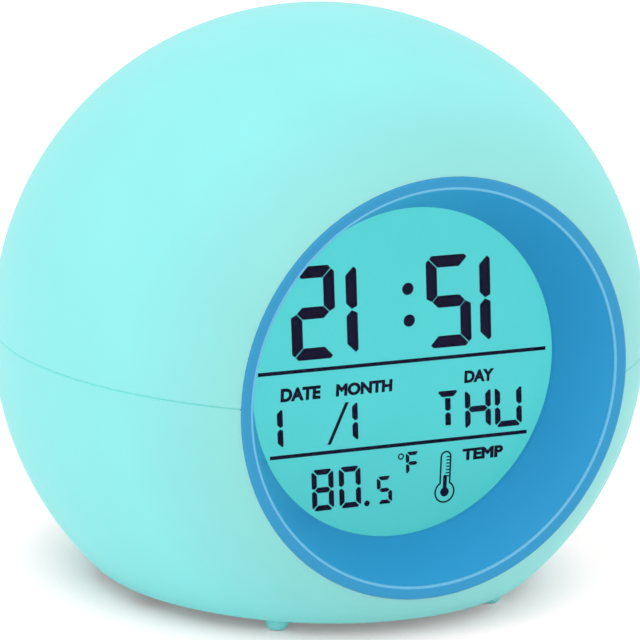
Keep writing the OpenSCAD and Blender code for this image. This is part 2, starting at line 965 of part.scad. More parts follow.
function coil_point(step) =
    let (
        part = step / coil_steps,
        turn = 360 * coil_turns * part,
        r = coil_wide_r + (coil_tip_r - coil_wide_r) * part
    )
    [r, turn, coil_wire_r + (spring_l - 2 * coil_wire_r) * part];

coil_points = [
    for (step = [0:coil_steps], side = [0:coil_sides - 1])
        let (
            c = coil_point(step),
            a = side * 360 / coil_sides,
            r = c[0] + coil_wire_r * cos(a)
        )
        [r * cos(c[1]), r * sin(c[1]), c[2] + coil_wire_r * sin(a)]
];

coil_faces = concat(
    [[for (side = [0:coil_sides - 1]) side]],
    [for (step = [0:coil_steps - 1], side = [0:coil_sides - 1], half = [0, 1])
        let (
            here = step * coil_sides,
            next = (side + 1) % coil_sides,
            a = here + side,
            b = here + next,
            c = a + coil_sides,
            d = b + coil_sides
        )
        half == 0 ? [a, c, b] : [b, c, d]],
    [[for (side = [coil_sides - 1:-1:0]) coil_steps * coil_sides + side]]
);

module contact_springs() {
    at_ball() color(steel) for (row = [-1:1])
        translate([0, row * cell_pitch, cell_z]) scale([row % 2 == 0 ? 1 : -1, 1, 1])
            translate([-box_x / 2 + plate_t, 0, 0]) rotate([0, 90, 0])
                polyhedron(coil_points, coil_faces);
}

upper_shell();
lower_shell();
shell_screws();
bezel();
display_window();
display_glass();
light_guide();
reflector_film();
backlight_lamps();
contact_strip();
main_board();
controller_blob();
board_parts();
tap_sensor();
board_screws();
light_board();
light_lamps();
light_board_screws();
light_lead();
ribbon_lead();
ribbon_plugs();
rear_panel();
key_mode();
key_set();
key_light();
key_up();
key_down();
key_alarm();
key_board();
key_switches();
key_board_screws();
speaker();
power_inlet();
battery_door();
cell_front();
cell_middle();
cell_rear();
contact_plates();
contact_springs();
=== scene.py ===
"""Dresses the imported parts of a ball-shaped bedside alarm clock for children.

Pieces are drawn in millimetres about the middle of the ball, with the display
facing -Y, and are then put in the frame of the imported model, which is in metres.
"""

import math

import bmesh
import bpy
from bpy.props import (
    FloatProperty,
    FloatVectorProperty,
    IntProperty,
    PointerProperty,
)
from mathutils import Matrix, Vector


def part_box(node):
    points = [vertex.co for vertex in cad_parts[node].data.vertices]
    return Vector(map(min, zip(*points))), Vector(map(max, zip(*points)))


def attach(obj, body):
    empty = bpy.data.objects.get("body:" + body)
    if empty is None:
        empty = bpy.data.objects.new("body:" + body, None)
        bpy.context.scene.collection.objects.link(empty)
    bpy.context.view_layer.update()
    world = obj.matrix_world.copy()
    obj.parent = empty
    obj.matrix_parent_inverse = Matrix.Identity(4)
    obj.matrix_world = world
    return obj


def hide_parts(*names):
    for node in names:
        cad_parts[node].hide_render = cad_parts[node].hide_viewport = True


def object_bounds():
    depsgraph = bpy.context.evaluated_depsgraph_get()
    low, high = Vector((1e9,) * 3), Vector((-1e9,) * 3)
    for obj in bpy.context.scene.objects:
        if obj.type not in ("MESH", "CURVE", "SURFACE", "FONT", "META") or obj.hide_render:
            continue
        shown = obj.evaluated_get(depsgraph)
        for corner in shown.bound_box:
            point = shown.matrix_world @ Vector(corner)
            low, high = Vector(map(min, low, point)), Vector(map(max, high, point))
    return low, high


bl_info = {
    "name": "Clock ball",
    "version": (1, 0, 0),
    "blender": (4, 5, 0),
    "location": "View3D > Sidebar > Clock ball",
    "description": "Builds the looks of a ball-shaped alarm clock on its packed parts",
    "category": "Object",
}

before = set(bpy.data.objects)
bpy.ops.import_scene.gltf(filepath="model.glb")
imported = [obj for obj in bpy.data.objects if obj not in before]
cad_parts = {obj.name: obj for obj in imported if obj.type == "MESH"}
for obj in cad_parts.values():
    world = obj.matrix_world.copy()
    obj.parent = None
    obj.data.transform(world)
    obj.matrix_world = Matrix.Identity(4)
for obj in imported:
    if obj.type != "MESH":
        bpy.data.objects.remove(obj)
CAD_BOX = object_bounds()

MM = 0.001
# The ball's radius, and the inner radius of its shells, whose walls are 2 mm thick.
BALL_R = CAD_BOX[1].x / MM
INNER_R = BALL_R - 2
CENTRE = CAD_BOX[1] - Vector((BALL_R, BALL_R, BALL_R)) * MM
CENTRE.x = 0.0
PLACING = Matrix.Translation(CENTRE) @ Matrix.Scale(MM, 4)

# Local +Z points up, out of the display, or out of the rear panel.
UP = Matrix.Identity(4)
FRONT = Matrix.Rotation(math.radians(90), 4, "X")
REAR = Matrix.Rotation(math.radians(-90), 4, "X")
ALONG_X = Matrix.Rotation(math.radians(90), 4, "Y")

# Points round a large and a small piece, the radius below which a round is one point,
# and the angle from which an edge looks sharp.
ROUND_STEPS = 192
FINE_STEPS = 48
TIP_R = 1e-6
SMOOTH_ANGLE = math.radians(32)

EIGHTH_TURN = math.radians(45)

# The bezel, in millimetres: its wall, the straight edge round the display, the wall of
# the collar round the glass, and how far the bead is outside and below the lip's edge.
BEZEL_WALL = 1.6
FACE_EDGE = 0.8
COLLAR_WALL = 1.4
BEAD_OUT = 0.2
BEAD_SUNK = 0.1

# Distances in millimetres in front of the ball's middle.
BOARD_FRONT = 23.048
GUIDE_FRONT = 25.348
REAR_PLATE_FRONT = 26.23
BOND_FRONT = 26.27
FRONT_PLATE_FRONT = 26.98
ART_BACK = 27.02
ART_FRONT = 27.1
WINDOW_BACK = 27.148

# Distances in millimetres behind the ball's middle.
KEY_BOARD = 36.756
SWITCH_TOP = 40.356
COLLAR_BACK = 41.956
GUIDE_BACK = 42.156
SPEAKER_BACK = 46.275

# The screw holes and the gap round the keys, in millimetres.
SCREW_HOLE_R = 1.05
KEY_GAP = 0.2

# Where the keys are: node, body, x on the rear, and row upwards.
KEY_COLUMN = 15.8
KEY_PITCH = 9.0
KEYS = (
    ("key_mode", "mode_key", KEY_COLUMN, 1),
    ("key_set", "set_key", KEY_COLUMN, 0),
    ("key_light", "light_key", KEY_COLUMN, -1),
    ("key_up", "up_key", -KEY_COLUMN, 1),
    ("key_down", "down_key", -KEY_COLUMN, 0),
    ("key_alarm", "alarm_key", -KEY_COLUMN, -1),
)

# The battery box, in millimetres: half its inner length, a contact plate's thickness,
# and the room from the box's end to a cell, with the plate and the spring in it.
BOX_HALF = 24.65
PLATE_WALL = 0.4
SPRING_ROOM = 4.4

# Where the cells are: node, row, and 1 if the nub points to +X.
CELL_PITCH = 11.1
CELL_HEIGHT = -28.65
CELL_ROWS = (("cell_front", -1, -1), ("cell_middle", 0, 1), ("cell_rear", 1, -1))


# ---------- sizes and colours ----------


def linear(code):
    """An sRGB hex colour as linear RGBA."""
    shares = [int(code[i : i + 2], 16) / 255 for i in (1, 3, 5)]
    return tuple(
        s / 12.92 if s <= 0.04045 else ((s + 0.055) / 1.055) ** 2.4 for s in shares
    ) + (1.0,)


def length(name, description, mm):
    """A length property whose default is given in millimetres."""
    return FloatProperty(
        name=name,
        description=description,
        default=mm * MM,
        min=0.0,
        precision=5,
        subtype="DISTANCE",
        unit="LENGTH",
    )


def angle(name, description, degrees):
    """An angle property whose default is given in degrees."""
    return FloatProperty(
        name=name,
        description=description,
        default=math.radians(degrees),
        subtype="ANGLE",
        unit="ROTATION",
    )


def colour(name, description, code):
    """A colour property whose default is an sRGB hex colour."""
    return FloatVectorProperty(
        name=name,
        description=description,
        default=linear(code),
        size=4,
        min=0.0,
        max=1.0,
        subtype="COLOR",
    )


class ClockSizes(bpy.types.PropertyGroup):
    """Sizes of the pieces that this file draws anew."""

    bezel_width: length("Bezel", "Outer diameter of the bezel", 63.2)
    display_width: length("Display", "Diameter of the visible display", 50.2)
    rim_rise: length("Rim rise", "Height of the rim above the ball", 0.4)
    lip_width: length("Lip width", "Width of the lip round the rim", 1.9)
    lip_fall: length("Lip fall", "Fall of the lip towards the recess", 0.5)
    recess: length("Recess", "Depth of the display behind the rim", 10.2)
    panel_width: length("Rear panel", "Diameter of the rear panel", 48.8)
    key_width: length("Key", "Diameter of a key", 6.2)
    key_rise: length("Key rise", "Height of a key above the panel", 1.0)
    cell_width: length("Cell width", "Diameter of a cell", 10.5)
    cell_length: length("Cell length", "Length of a cell with its nub", 44.5)
    wire_width: length("Spring wire", "Thickness of a contact spring's wire", 0.6)
    spring_turns: IntProperty(
        name="Spring turns",
        description="Number of turns in a contact spring",
        default=3,
        min=1,
    )


class ClockColours(bpy.types.PropertyGroup):
    """Colours of the pieces."""

    shell: colour("Shell", "Translucent aqua ABS of the ball", "#98F7F5")
    bezel: colour("Bezel", "Blue ABS of the bezel", "#35A9E0")
    display: colour("Display", "Light of the display", "#58D8DA")
    segment: colour("Segments", "Dark segments and printed legends", "#120B2E")
    key: colour("Keys", "White ABS of the keys", "#F1F4F4")
    mark: colour("Marks", "Raised marks on the keys", "#4FA9CF")
    sleeve: colour("Sleeve", "Printed film round a cell", "#3D6E9E")
    band: colour("Band", "Band at a cell's positive end", "#DDE0E2")


class ClockStudio(bpy.types.PropertyGroup):
    """The photograph's camera, and a plain soft studio."""

    distance: length("Camera distance", "From the camera to the ball's middle", 600)
    azimuth: angle("Azimuth", "Angle of the view round the clock", -27.1)
    elevation: angle("Elevation", "Angle of the view above the table", 14.25)
    roll: angle("Roll", "Lean of the camera", 2.04)
    lens: FloatProperty(
        name="Lens",
        description="Focal length on a 36 mm sensor",
        default=219.55,
        min=1.0,
        subtype="DISTANCE_CAMERA",
        unit="CAMERA",
    )
    shift_x: FloatProperty(
        name="Shift X",
        description="Shift of the picture to the side",
        default=0.0018,
    )
    shift_y: FloatProperty(
        name="Shift Y",
        description="Shift of the picture upwards",
        default=0.0122,
    )
    sky: FloatProperty(
        name="Sky",
        description="Strength of the even light from all round",
        default=0.86,
        min=0.0,
    )
    softbox: FloatProperty(
        name="Softbox",
        description="Power of the large lamp above and to the left",
        default=3.6,
        min=0.0,
        unit="POWER",
    )
    softbox_width: length("Softbox width", "Width of the square lamp", 900)
    softbox_distance: length("Softbox distance", "From the lamp to the ball", 1600)
    floor_width: length("Floor width", "Width of the square floor", 6000)


# ---------- meshes ----------


def arc(middle, radius, start, end, steps):
    """Points on an arc, with its angles in degrees."""
    turns = [math.radians(start + (end - start) * i / steps) for i in range(steps + 1)]
    return [
        (middle[0] + radius * math.cos(t), middle[1] + radius * math.sin(t))
        for t in turns
    ]


def on_ball(radius, distance):
    """Height along an axis at which the ball's surface is that far from the axis."""
    return math.sqrt(radius**2 - distance**2)


def disc(x, y, radius, steps=32):
    """Outline of a round at (x, y), or one point where its radius is nothing."""
    if radius < TIP_R:
        return [(x, y)]
    return arc((x, y), radius, 0, 360 - 360 / steps, steps - 1)


def box(x0, x1, y0, y1):
    """Outline of a rectangle."""
    return [(x0, y0), (x1, y0), (x1, y1), (x0, y1)]


def flipped(outline, x=1, y=1):
    """The outline mirrored where x or y is -1."""
    return [(px * x, py * y) for px, py in outline]


def bridge(mesh, loops, closed=False):
    """Faces from each loop of points to the next. A loop of one point is a tip."""
    steps = max(len(loop) for loop in loops)
    for near, far in zip(loops, loops[1:] + loops[:1] if closed else loops[1:]):
        for i in range(steps):
            j = (i + 1) % steps
            corners = [near[i % len(near)], near[j % len(near)]]
            corners += [far[j % len(far)], far[i % len(far)]]
            corners = list(dict.fromkeys(corners))
            if len(corners) > 2:
                mesh.faces.new(corners)


def capped(mesh, loops):
    """Faces along the loops and over both ends."""
    bridge(mesh, loops)
    mesh.faces.new(loops[0])
    mesh.faces.new(loops[-1])


def level_loop(mesh, outline, height, turned, dome=None):
    """The points of an outline at one height along the local Z axis, which is
    measured from a ball of radius dome where there is one."""
    loop = []
    for x, y in outline:
        base = on_ball(dome, math.hypot(x, y)) if dome else 0
        loop.append(mesh.verts.new(turned @ Vector((x, y, base + height))))
    return loop


def lathe(mesh, profile, turned, steps=ROUND_STEPS):
    """Turns a closed profile of (radius, height) round the local Z axis."""
    loops = [level_loop(mesh, disc(0, 0, r, steps), z, turned) for r, z in profile]
    bridge(mesh, loops, closed=True)


def prism(mesh, outline, low, high, turned=UP):
    """A flat outline of (x, y) points given a thickness along the local Z axis."""
    capped(mesh, [level_loop(mesh, outline, z, turned) for z in (low, high)])


def ring(mesh, outer, inner, low, high, turned):
    """A thick line between two outlines that have as many points as each other."""
    levels = ((outer, low), (outer, high), (inner, high), (inner, low))
    loops = [level_loop(mesh, outline, z, turned) for outline, z in levels]
    bridge(mesh, loops, closed=True)


def rod(mesh, x, y, low, high, radius, turned, steps=FINE_STEPS):
    """A round rod at (x, y) along the local Z axis."""
    prism(mesh, disc(x, y, radius, steps), low, high, turned)


def domed_rings(mesh, x, y, rings, turned):
    """A round piece at (x, y) from rings of (radius, height, dome)."""
    bridge(
        mesh,
        [
            level_loop(mesh, disc(x, y, radius, FINE_STEPS), height, turned, dome)
            for radius, height, dome in rings
        ],
    )


def raised(mesh, outline, x, y, dome, lift, turned):
    """A flat mark at (x, y) that follows a domed face and stands above it."""
    placed = [(x + dx, y + dy) for dx, dy in outline]
    sunk = -0.3
    capped(mesh, [level_loop(mesh, placed, z, turned, dome) for z in (sunk, lift)])


def each(drawing, items, *rest):
    """Drawings of one kind, each with an item's values and then the rest."""
    return [lambda mesh, item=item: drawing(mesh, *item, *rest) for item in items]


def link(name, data):
    """A new object in the scene."""
    made = bpy.data.objects.new(name, data)
    bpy.context.scene.collection.objects.link(made)
    return made


def finished(name, mesh):
    """A new object from a mesh that is drawn."""
    data = bpy.data.meshes.new(name)
    mesh.to_mesh(data)
    mesh.free()
    return link(name, data)


def draw(name, *drawings):
    """A new object from functions that draw into its mesh, one closed solid each."""
    mesh = bmesh.new()
    for drawing in drawings:
        drawing(mesh)
    bmesh.ops.recalc_face_normals(mesh, faces=mesh.faces[:])
    return finished(name, mesh)


def carve(target, *steps):
    """Adds or cuts solids in order. A step is (operation, drawing, ...)."""
    tools = []
    for operation, *drawings in steps:
        tool = draw(f"{target.name}_tool", *drawings)
        change = target.modifiers.new(operation, "BOOLEAN")
        change.operation = operation
        change.object = tool
        change.solver = "MANIFOLD"
        tools.append(tool)
    bpy.context.view_layer.update()
    view = bpy.context.evaluated_depsgraph_get()
    carved = bpy.data.meshes.new_from_object(target.evaluated_get(view))
    target.modifiers.clear()
    target.data = carved
    for tool in tools:
        bpy.data.objects.remove(tool)
    if not carved.polygons:
        raise RuntimeError(f"{target.name}: a boolean left nothing")


def settle(made, finish, body="case", replaced=()):
    """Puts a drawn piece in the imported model's frame, on its body, with its finish."""
    made.data.transform(PLACING)
    made.data.materials.clear()
    made.data.materials.append(finish)
    made.data.shade_smooth()
    made.data.set_sharp_from_angle(angle=SMOOTH_ANGLE)
    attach(made, body)
    if replaced:
        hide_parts(*replaced)


def dress(finish, *nodes):
    """Gives CAD nodes that stay as they are a finish."""
    for node in nodes:
        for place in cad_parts[node].material_slots:
            place.material = finish


# ---------- finishes ----------


def add(tree, kind, inputs=None, **settings):
    """Adds a shader node, sets it, and fills its inputs with values or links."""
    node = tree.nodes.new("ShaderNode" + kind)
    for name, value in settings.items():
        setattr(node, name, value)
    for name, value in (inputs or {}).items():
        if isinstance(value, bpy.types.NodeSocket):
            tree.links.new(value, node.inputs[name])
        else:
            node.inputs[name].default_value = value
    return node


def new_finish(name, inputs):
    """A material whose shader has these even values, with its tree and shader."""
    made = bpy.data.materials.new(name)
    made.use_nodes = True
    made.node_tree.nodes.clear()
    tree = made.node_tree
    shader = add(tree, "BsdfPrincipled", inputs)
    add(tree, "OutputMaterial", {"Surface": shader.outputs[0]})
    return made, tree, shader


def speckle(tree, size_mm, detail=2.0):
    """Noise whose patches are that wide on the object."""
    place = add(tree, "TexCoord").outputs["Object"]
    scale = 1 / (size_mm * MM)
    noise = add(tree, "TexNoise", {"Vector": place, "Scale": scale, "Detail": detail})
    return noise.outputs["Fac"]


def spread(tree, noise, low, high):
    """Maps noise to a range of numbers."""
    ends = {"From Min": 0.3, "From Max": 0.7, "To Min": low, "To Max": high}
    return add(tree, "MapRange", {"Value": noise, **ends}).outputs[0]


def cloud(tree, shader, paint, pattern, low, high):
    """A colour made darker and lighter by a pattern."""
    level = {"Value": spread(tree, pattern, low, high), "Color": tuple(paint)}
    cloudy = add(tree, "HueSaturation", level)
    tree.links.new(cloudy.outputs[0], shader.inputs["Base Color"])


def roughen(tree, shader, pattern, low, high):
    """Roughness that follows a pattern."""
    tree.links.new(spread(tree, pattern, low, high), shader.inputs["Roughness"])


def relief(tree, shader, height, depth_mm, strength=1.0):
    """A fine relief of that depth."""
    size = {"Distance": depth_mm * MM, "Strength": strength}
    bump = add(tree, "Bump", {"Height": height, **size})
    tree.links.new(bump.outputs[0], shader.inputs["Normal"])


def moulded_abs(name, paint, roughness, clouds, grain_mm, inputs=None):
    """ABS, injection-moulded against a spark-eroded mould. The mould leaves an even
    satin grain, and the pigment clouds a little as the melt flows. The real grain
    is about 0.05 mm, too fine to show, so it is drawn coarser."""
    made, tree, shader = new_finish(name, {"IOR": 1.53, **(inputs or {})})
    cloud(tree, shader, paint, speckle(tree, 14), 1 - clouds, 1 + clouds)
    grain = speckle(tree, grain_mm)
    roughen(tree, shader, grain, roughness - 0.04, roughness + 0.04)
    relief(tree, shader, grain, 0.004)
    return made


def painted_shade_forward(made, start, end, code):
    """Multiplies a finish's paint by a colour, more and more between two distances
    in millimetres in front of the ball's middle: painted shade."""
    tree = made.node_tree
    paint = tree.nodes["Principled BSDF"].inputs["Base Color"]
    place = add(tree, "TexCoord").outputs["Object"]
    depth = add(tree, "SeparateXYZ", {"Vector": place}).outputs["Y"]
    ends = {"From Min": CENTRE.y - start * MM, "From Max": CENTRE.y - end * MM}
    share = add(tree, "MapRange", {"Value": depth, **ends}).outputs[0]
    colours = {0: share, 6: paint.links[0].from_socket, 7: linear(code)}
    tinted = add(tree, "Mix", colours, data_type="RGBA", blend_type="MULTIPLY")
    tree.links.new(tinted.outputs[2], paint)
    return made


def clear_pmma():
    """PMMA, injection-moulded and polished, with a coat against glare: water-clear,
    so the display shows through it and only a faint sheen gives it away."""
    made, tree, shader = new_finish(
        "PMMA_clear_polished",
        {"Base Color": linear("#FCFEFE"), "Transmission Weight": 1.0, "IOR": 1.1},
    )
    roughen(tree, shader, speckle(tree, 6), 0.0, 0.03)
    return made


def lit_crystal(paint):
    """Liquid crystal glass with a diffusing film, lit from behind by side lamps. The
    film keeps the light even, but it falls off towards the bottom."""
    made, tree, shader = new_finish(
        "liquid_crystal_glass_lit",
        {
            "Base Color": linear("#123A3C"),
            "IOR": 1.52,
            "Emission Strength": 1.0,
            "Specular IOR Level": 0.1,
        },
    )
    place = add(tree, "TexCoord").outputs["Object"]
    height = add(tree, "SeparateXYZ", {"Vector": place}).outputs["Z"]
    rise = {
        "Value": height,
        "From Min": CENTRE.z - 25 * MM,
        "From Max": CENTRE.z - 4 * MM,
        "To Min": 0.77,
        "To Max": 0.912,
    }
    even = {
        0: add(tree, "MapRange", rise).outputs[0],
        1: spread(tree, speckle(tree, 9), 0.985, 1.015),
    }
    level = add(tree, "Math", even, operation="MULTIPLY").outputs[0]
    light = add(tree, "HueSaturation", {"Value": level, "Color": tuple(paint)})
    tree.links.new(light.outputs[0], shader.inputs["Emission Color"])
    roughen(tree, shader, speckle(tree, 0.4), 0.4, 0.5)
    return made


def dark_crystal(paint):
    """Liquid crystal that is switched on, and printed legends: near black with a
    violet cast, since the polarising films let a little blue light through."""
    made, tree, shader = new_finish(
        "liquid_crystal_dark",
        {"IOR": 1.52, "Roughness": 0.6, "Specular IOR Level": 0.05},
    )
    cloud(tree, shader, paint, speckle(tree, 2), 0.9, 1.1)
    return made


def plated_steel(name, code, roughness):
    """Steel, stamped or drawn and then plated: bright, with fine streaks from the
    tool that are about 0.2 mm apart."""
    made, tree, shader = new_finish(name, {"Metallic": 1.0})
    cloud(tree, shader, linear(code), speckle(tree, 3), 0.94, 1.04)
    streaks = speckle(tree, 0.2, 4.0)
    roughen(tree, shader, streaks, roughness - 0.06, roughness + 0.08)
    relief(tree, shader, streaks, 0.003)
    return made


def solder_mask(name, mask, copper):
    """Glass-fibre board under solder mask, with copper tracks about 0.5 mm wide that
    stand out a little as paler lines."""
    made, tree, shader = new_finish(name, {"IOR": 1.5, "Coat Weight": 0.3})
    tracks = add(
        tree,
        "TexBrick",
        {
            "Vector": add(tree, "TexCoord").outputs["Object"],
            "Color1": linear(mask),
            "Color2": linear(mask),
            "Mortar": linear(copper),
            "Scale": 1 / (6 * MM),
            "Mortar Size": 0.05,
            "Brick Width": 1.0,
            "Row Height": 0.42,
        },
    )
    tree.links.new(tracks.outputs["Color"], shader.inputs["Base Color"])
    roughen(tree, shader, speckle(tree, 0.5), 0.25, 0.4)
    relief(tree, shader, tracks.outputs["Fac"], 0.03, 0.5)
    return made


def plain_finish(name, paint, roughness, grain_mm, depth_mm, inputs=None):
    """A small inner piece's finish: one colour with slight patches and a grain."""
    made, tree, shader = new_finish(name, inputs or {})
    grain = speckle(tree, grain_mm)
    cloud(tree, shader, paint, grain, 0.95, 1.05)
    roughen(tree, shader, grain, roughness - 0.05, roughness + 0.05)
    relief(tree, shader, grain, depth_mm)
    return made


def striped(name, codes, pitch_mm, roughness):
    """A flat lead's insulation over its wires, or silicone rubber in thin layers:
    stripes at the pitch of the wires or layers, along the piece."""
    made, tree, shader = new_finish(name, {"IOR": 1.45})
    place = add(tree, "TexCoord").outputs["Object"]
    # a wave of scale 1 repeats every 0.314
    wave = {"Vector": place, "Scale": 0.314 / (pitch_mm * MM)}
    stripes = add(tree, "TexWave", wave, bands_direction="X").outputs["Fac"]
    colours = {0: stripes, 6: linear(codes[0]), 7: linear(codes[1])}
    tone = add(tree, "Mix", colours, data_type="RGBA")
    tree.links.new(tone.outputs[2], shader.inputs["Base Color"])
    roughen(tree, shader, speckle(tree, 0.5), roughness - 0.05, roughness + 0.05)
    relief(tree, shader, stripes, 0.1)
    return made


# ---------- pieces ----------


class ClockStep:
    """What the steps that build the clock share."""

    bl_options = {"REGISTER", "UNDO"}

    @property
    def sizes(self):
        return bpy.context.scene.clock_sizes

    @property
    def colours(self):
        return bpy.context.scene.clock_colours


def mm(value):
    """A length property in millimetres."""
    return value / MM


def rounded_edge(radius, height, edge, steps=5):
    """Points over the rounded outer edge of a round piece, from its top down."""
    return arc((radius - edge, height - edge), edge, 90, 0, steps)


def glass_sizes(sizes):
    """Half width of the display's glass, and inner radius of the collar round it."""
    half = mm(sizes.display_width) / 2 + 0.6
    return half, half / math.cos(EIGHTH_TURN / 2) + 1


def bezel_sizes(sizes):
    """Radii of rim and lip, and distances of rim, lip and display in front of the
    middle. The rim is drawn a hair wide, so that no gap shows round it."""
    rim_r = mm(sizes.bezel_width) / 2 + 0.08
    rim = on_ball(BALL_R, rim_r) + mm(sizes.rim_rise)
    lip_r = rim_r - mm(sizes.lip_width)
    return rim_r, lip_r, rim, rim - mm(sizes.lip_fall), rim - mm(sizes.recess)


def bezel_profile(sizes):
    """Outline of the bezel's section, as (radius, distance in front of the middle)."""
    rim_r, lip_r, rim, lip, face = bezel_sizes(sizes)
    collar_r = glass_sizes(sizes)[1]
    display_r = mm(sizes.display_width) / 2
    wall, bead, rim_edge = BEZEL_WALL, 0.24, 0.5
    flange, flange_wall, flange_depth = 2.4, 1.8, 4.75
    seat = face - FACE_EDGE
    slope = (lip_r - display_r) / (lip - face)
    skirt_r = rim_r - wall
    back = wall * math.hypot(1, slope)
    flange_front = rim - flange_depth
    return (
        [(display_r, seat), (display_r, face - 0.1), (display_r + 0.08, face + 0.2)]
        + arc((lip_r + BEAD_OUT, lip - BEAD_SUNK), bead, 205, 60, 8)
        + rounded_edge(rim_r, rim, rim_edge, 8)
        + [
            (rim_r, flange_front),
            (rim_r + flange, flange_front),
            (rim_r + flange, flange_front - flange_wall),
            (skirt_r, flange_front - flange_wall),
            (skirt_r, face + (skirt_r - back - display_r) / slope),
            (display_r + back + slope * (seat + wall - face), seat + wall),
            (collar_r + COLLAR_WALL, seat + wall),
            (collar_r + COLLAR_WALL, BOARD_FRONT),
            (collar_r, BOARD_FRONT),
            (collar_r, seat),
        ]
    )


class CLOCK_OT_bezel(ClockStep, bpy.types.Operator):
    """Draw the bezel with its rim, lip, funnel, flange and display seat"""

    bl_idname = "clock.bezel"
    bl_label = "Bezel"

    def execute(self, context):
        _, lip_r, _, lip, face = bezel_sizes(self.sizes)
        profile = bezel_profile(self.sizes)
        seat, collar_r = face - FACE_EDGE, glass_sizes(self.sizes)[1]
        boss_r, boss_in, pilot, bead_r = 2.2, 1.7, 0.6, 0.27
        corner = (collar_r + COLLAR_WALL + boss_in) * math.cos(EIGHTH_TURN)
        spots = [(x, y) for x in (-corner, corner) for y in (-corner, corner)]
        bosses = (BOARD_FRONT, seat + BEZEL_WALL, boss_r, FRONT)
        # the cuts start behind the back of the bezel
        back = BOARD_FRONT - 1
        holes = (back, seat + pilot, SCREW_HOLE_R, FRONT)
        recess = (0, 0, back, seat, collar_r, FRONT, ROUND_STEPS)
        made = draw("bezel_ring", lambda m: lathe(m, profile, FRONT))
        carve(
            made,
            ("UNION", *each(rod, spots, *bosses)),
            ("DIFFERENCE", *each(rod, spots, *holes)),
            ("DIFFERENCE", lambda m: rod(m, *recess)),
        )
        finish = moulded_abs(
            "ABS_blue_satin",
            self.colours.bezel,
            roughness=0.45,
            clouds=0.012,
            grain_mm=0.3,
            inputs={"Specular IOR Level": 0.3},
        )
        # the front of the lip, which faces the light, is darkened a little: painted shade
        painted_shade_forward(finish, 38.2, 38.6, "#EFEFEF")
        settle(made, finish, replaced=["bezel"])
        bead = disc(lip_r + BEAD_OUT, lip - BEAD_SUNK, bead_r, 24)
        # the mould is polished where it forms the bead, so the bead is a little glossier;
        # its lighter blue is a painted highlight along the lip's edge
        bright = moulded_abs(
            "ABS_blue_edge_painted_highlight",
            linear("#6CC4EC"),
            roughness=0.3,
            clouds=0.01,
            grain_mm=0.3,
        )
        settle(draw("bezel_bead", lambda m: lathe(m, bead, FRONT)), bright)
        return {"FINISHED"}


class CLOCK_OT_window(ClockStep, bpy.types.Operator):
    """Draw the clear window in front of the display"""

    bl_idname = "clock.window"
    bl_label = "Window"

    def execute(self, context):
        gap, wall, edge = 0.1, 1, 0.1
        radius, front = glass_sizes(self.sizes)[1] - gap, WINDOW_BACK + wall
        outline = [
            (0, WINDOW_BACK),
            (radius - edge, WINDOW_BACK),
            (radius, WINDOW_BACK + edge),
            (radius, front - edge),
            (radius - edge, front),
            (0, front),
        ]
        made = draw("window_pane", lambda m: lathe(m, outline, FRONT))
        settle(made, clear_pmma(), replaced=["display_window"])
        return {"FINISHED"}


# Which of the seven segments each sign lights: a to f round from the top, g across,
# s and t a stem above and below.
SEGMENTS = {
    "0": "abcdef",
    "1": "bc",
    "2": "abdeg",
    "5": "acdfg",
    "8": "abcdefg",
    "F": "aefg",
    "H": "bcefg",
    "T": "ast",
    "U": "bcdef",
}

# Rows of signs: height of their middle, then height, bar, gap and lean of a sign, and
# each sign with its place across and its width, in millimetres.
SIGN_ROWS = (
    (
        (10.07, 14.1, 1.8, 0.16, 0.075),
        (("2", -14.95, 7.2), ("1", -11.3, 7.2), ("5", 7.5, 7.4), ("1", 10.85, 7.4)),
    ),
    (
        (-6.98, 6.5, 0.92, 0.22, 0.07),
        (
            ("1", -21.2, 4.0),
            ("1", -8.9, 4.0),
            ("T", 8.2, 4.0),
            ("H", 13.3, 4.4),
            ("U", 18.5, 4.6),
        ),
    ),
    ((-17.05, 6.4, 0.84, 0.24, 0.07), (("8", -12.3, 3.6), ("0", -7.8, 3.6))),
    ((-18.1, 4.3, 0.62, 0.22, 0.07), (("5", -2.0, 2.5),)),
    ((-14.4, 3.6, 0.56, 0.18, 0.07), (("F", 2.6, 2.3),)),
)

# Printed words: word, left, right, bottom and top.
WORDS = (
    ("DATE", -19.75, -13.25, -3.0, -0.95),
    ("MONTH", -10.7, -1.4, -2.97, -1.05),
    ("DAY", 10.75, 15.75, -2.82, -0.9),
    ("TEMP", 11.0, 17.95, -14.88, -13.05),
)


def segment_shapes(width, height, bar, gap):
    """Outlines of the segments of one sign, about its middle."""
    w, h, g, k = width / 2, height / 2, gap / 2, bar / 2
    mitre = k / 2 + 1.4 * g
    top = [
        (-w + k + g, h),
        (w - k - g, h),
        (w - mitre, h - k / 2),
        (w - bar - g, h - bar),
        (-w + bar + g, h - bar),
        (-w + mitre, h - k / 2),
    ]
    upper_left = [
        (-w, h - k - g),
        (-w + k / 2, h - mitre),
        (-w + bar, h - bar - g),
        (-w + bar, bar / 2 + g),
        (-w + bar / 2, g),
        (-w, bar / 4 + g),
    ]
    across = [
        (-w + bar / 2 + g, 0),
        (-w + bar + g, bar / 2),
        (w - bar - g, bar / 2),
        (w - bar / 2 - g, 0),
        (w - bar - g, -bar / 2),
        (-w + bar + g, -bar / 2),
    ]
    stem = [
        (-bar / 2, h - bar - 2 * g),
        (bar / 2, h - bar - 2 * g),
        (bar / 2, bar / 4 + g),
        (0, g),
        (-bar / 2, bar / 4 + g),
    ]
    return {
        "a": top,
        "b": flipped(upper_left, x=-1),
        "c": flipped(upper_left, x=-1, y=-1),
        "d": flipped(top, y=-1),
        "e": flipped(upper_left, y=-1),
        "f": upper_left,
        "g": across,
        "s": stem,
        "t": flipped(stem, y=-1),
    }


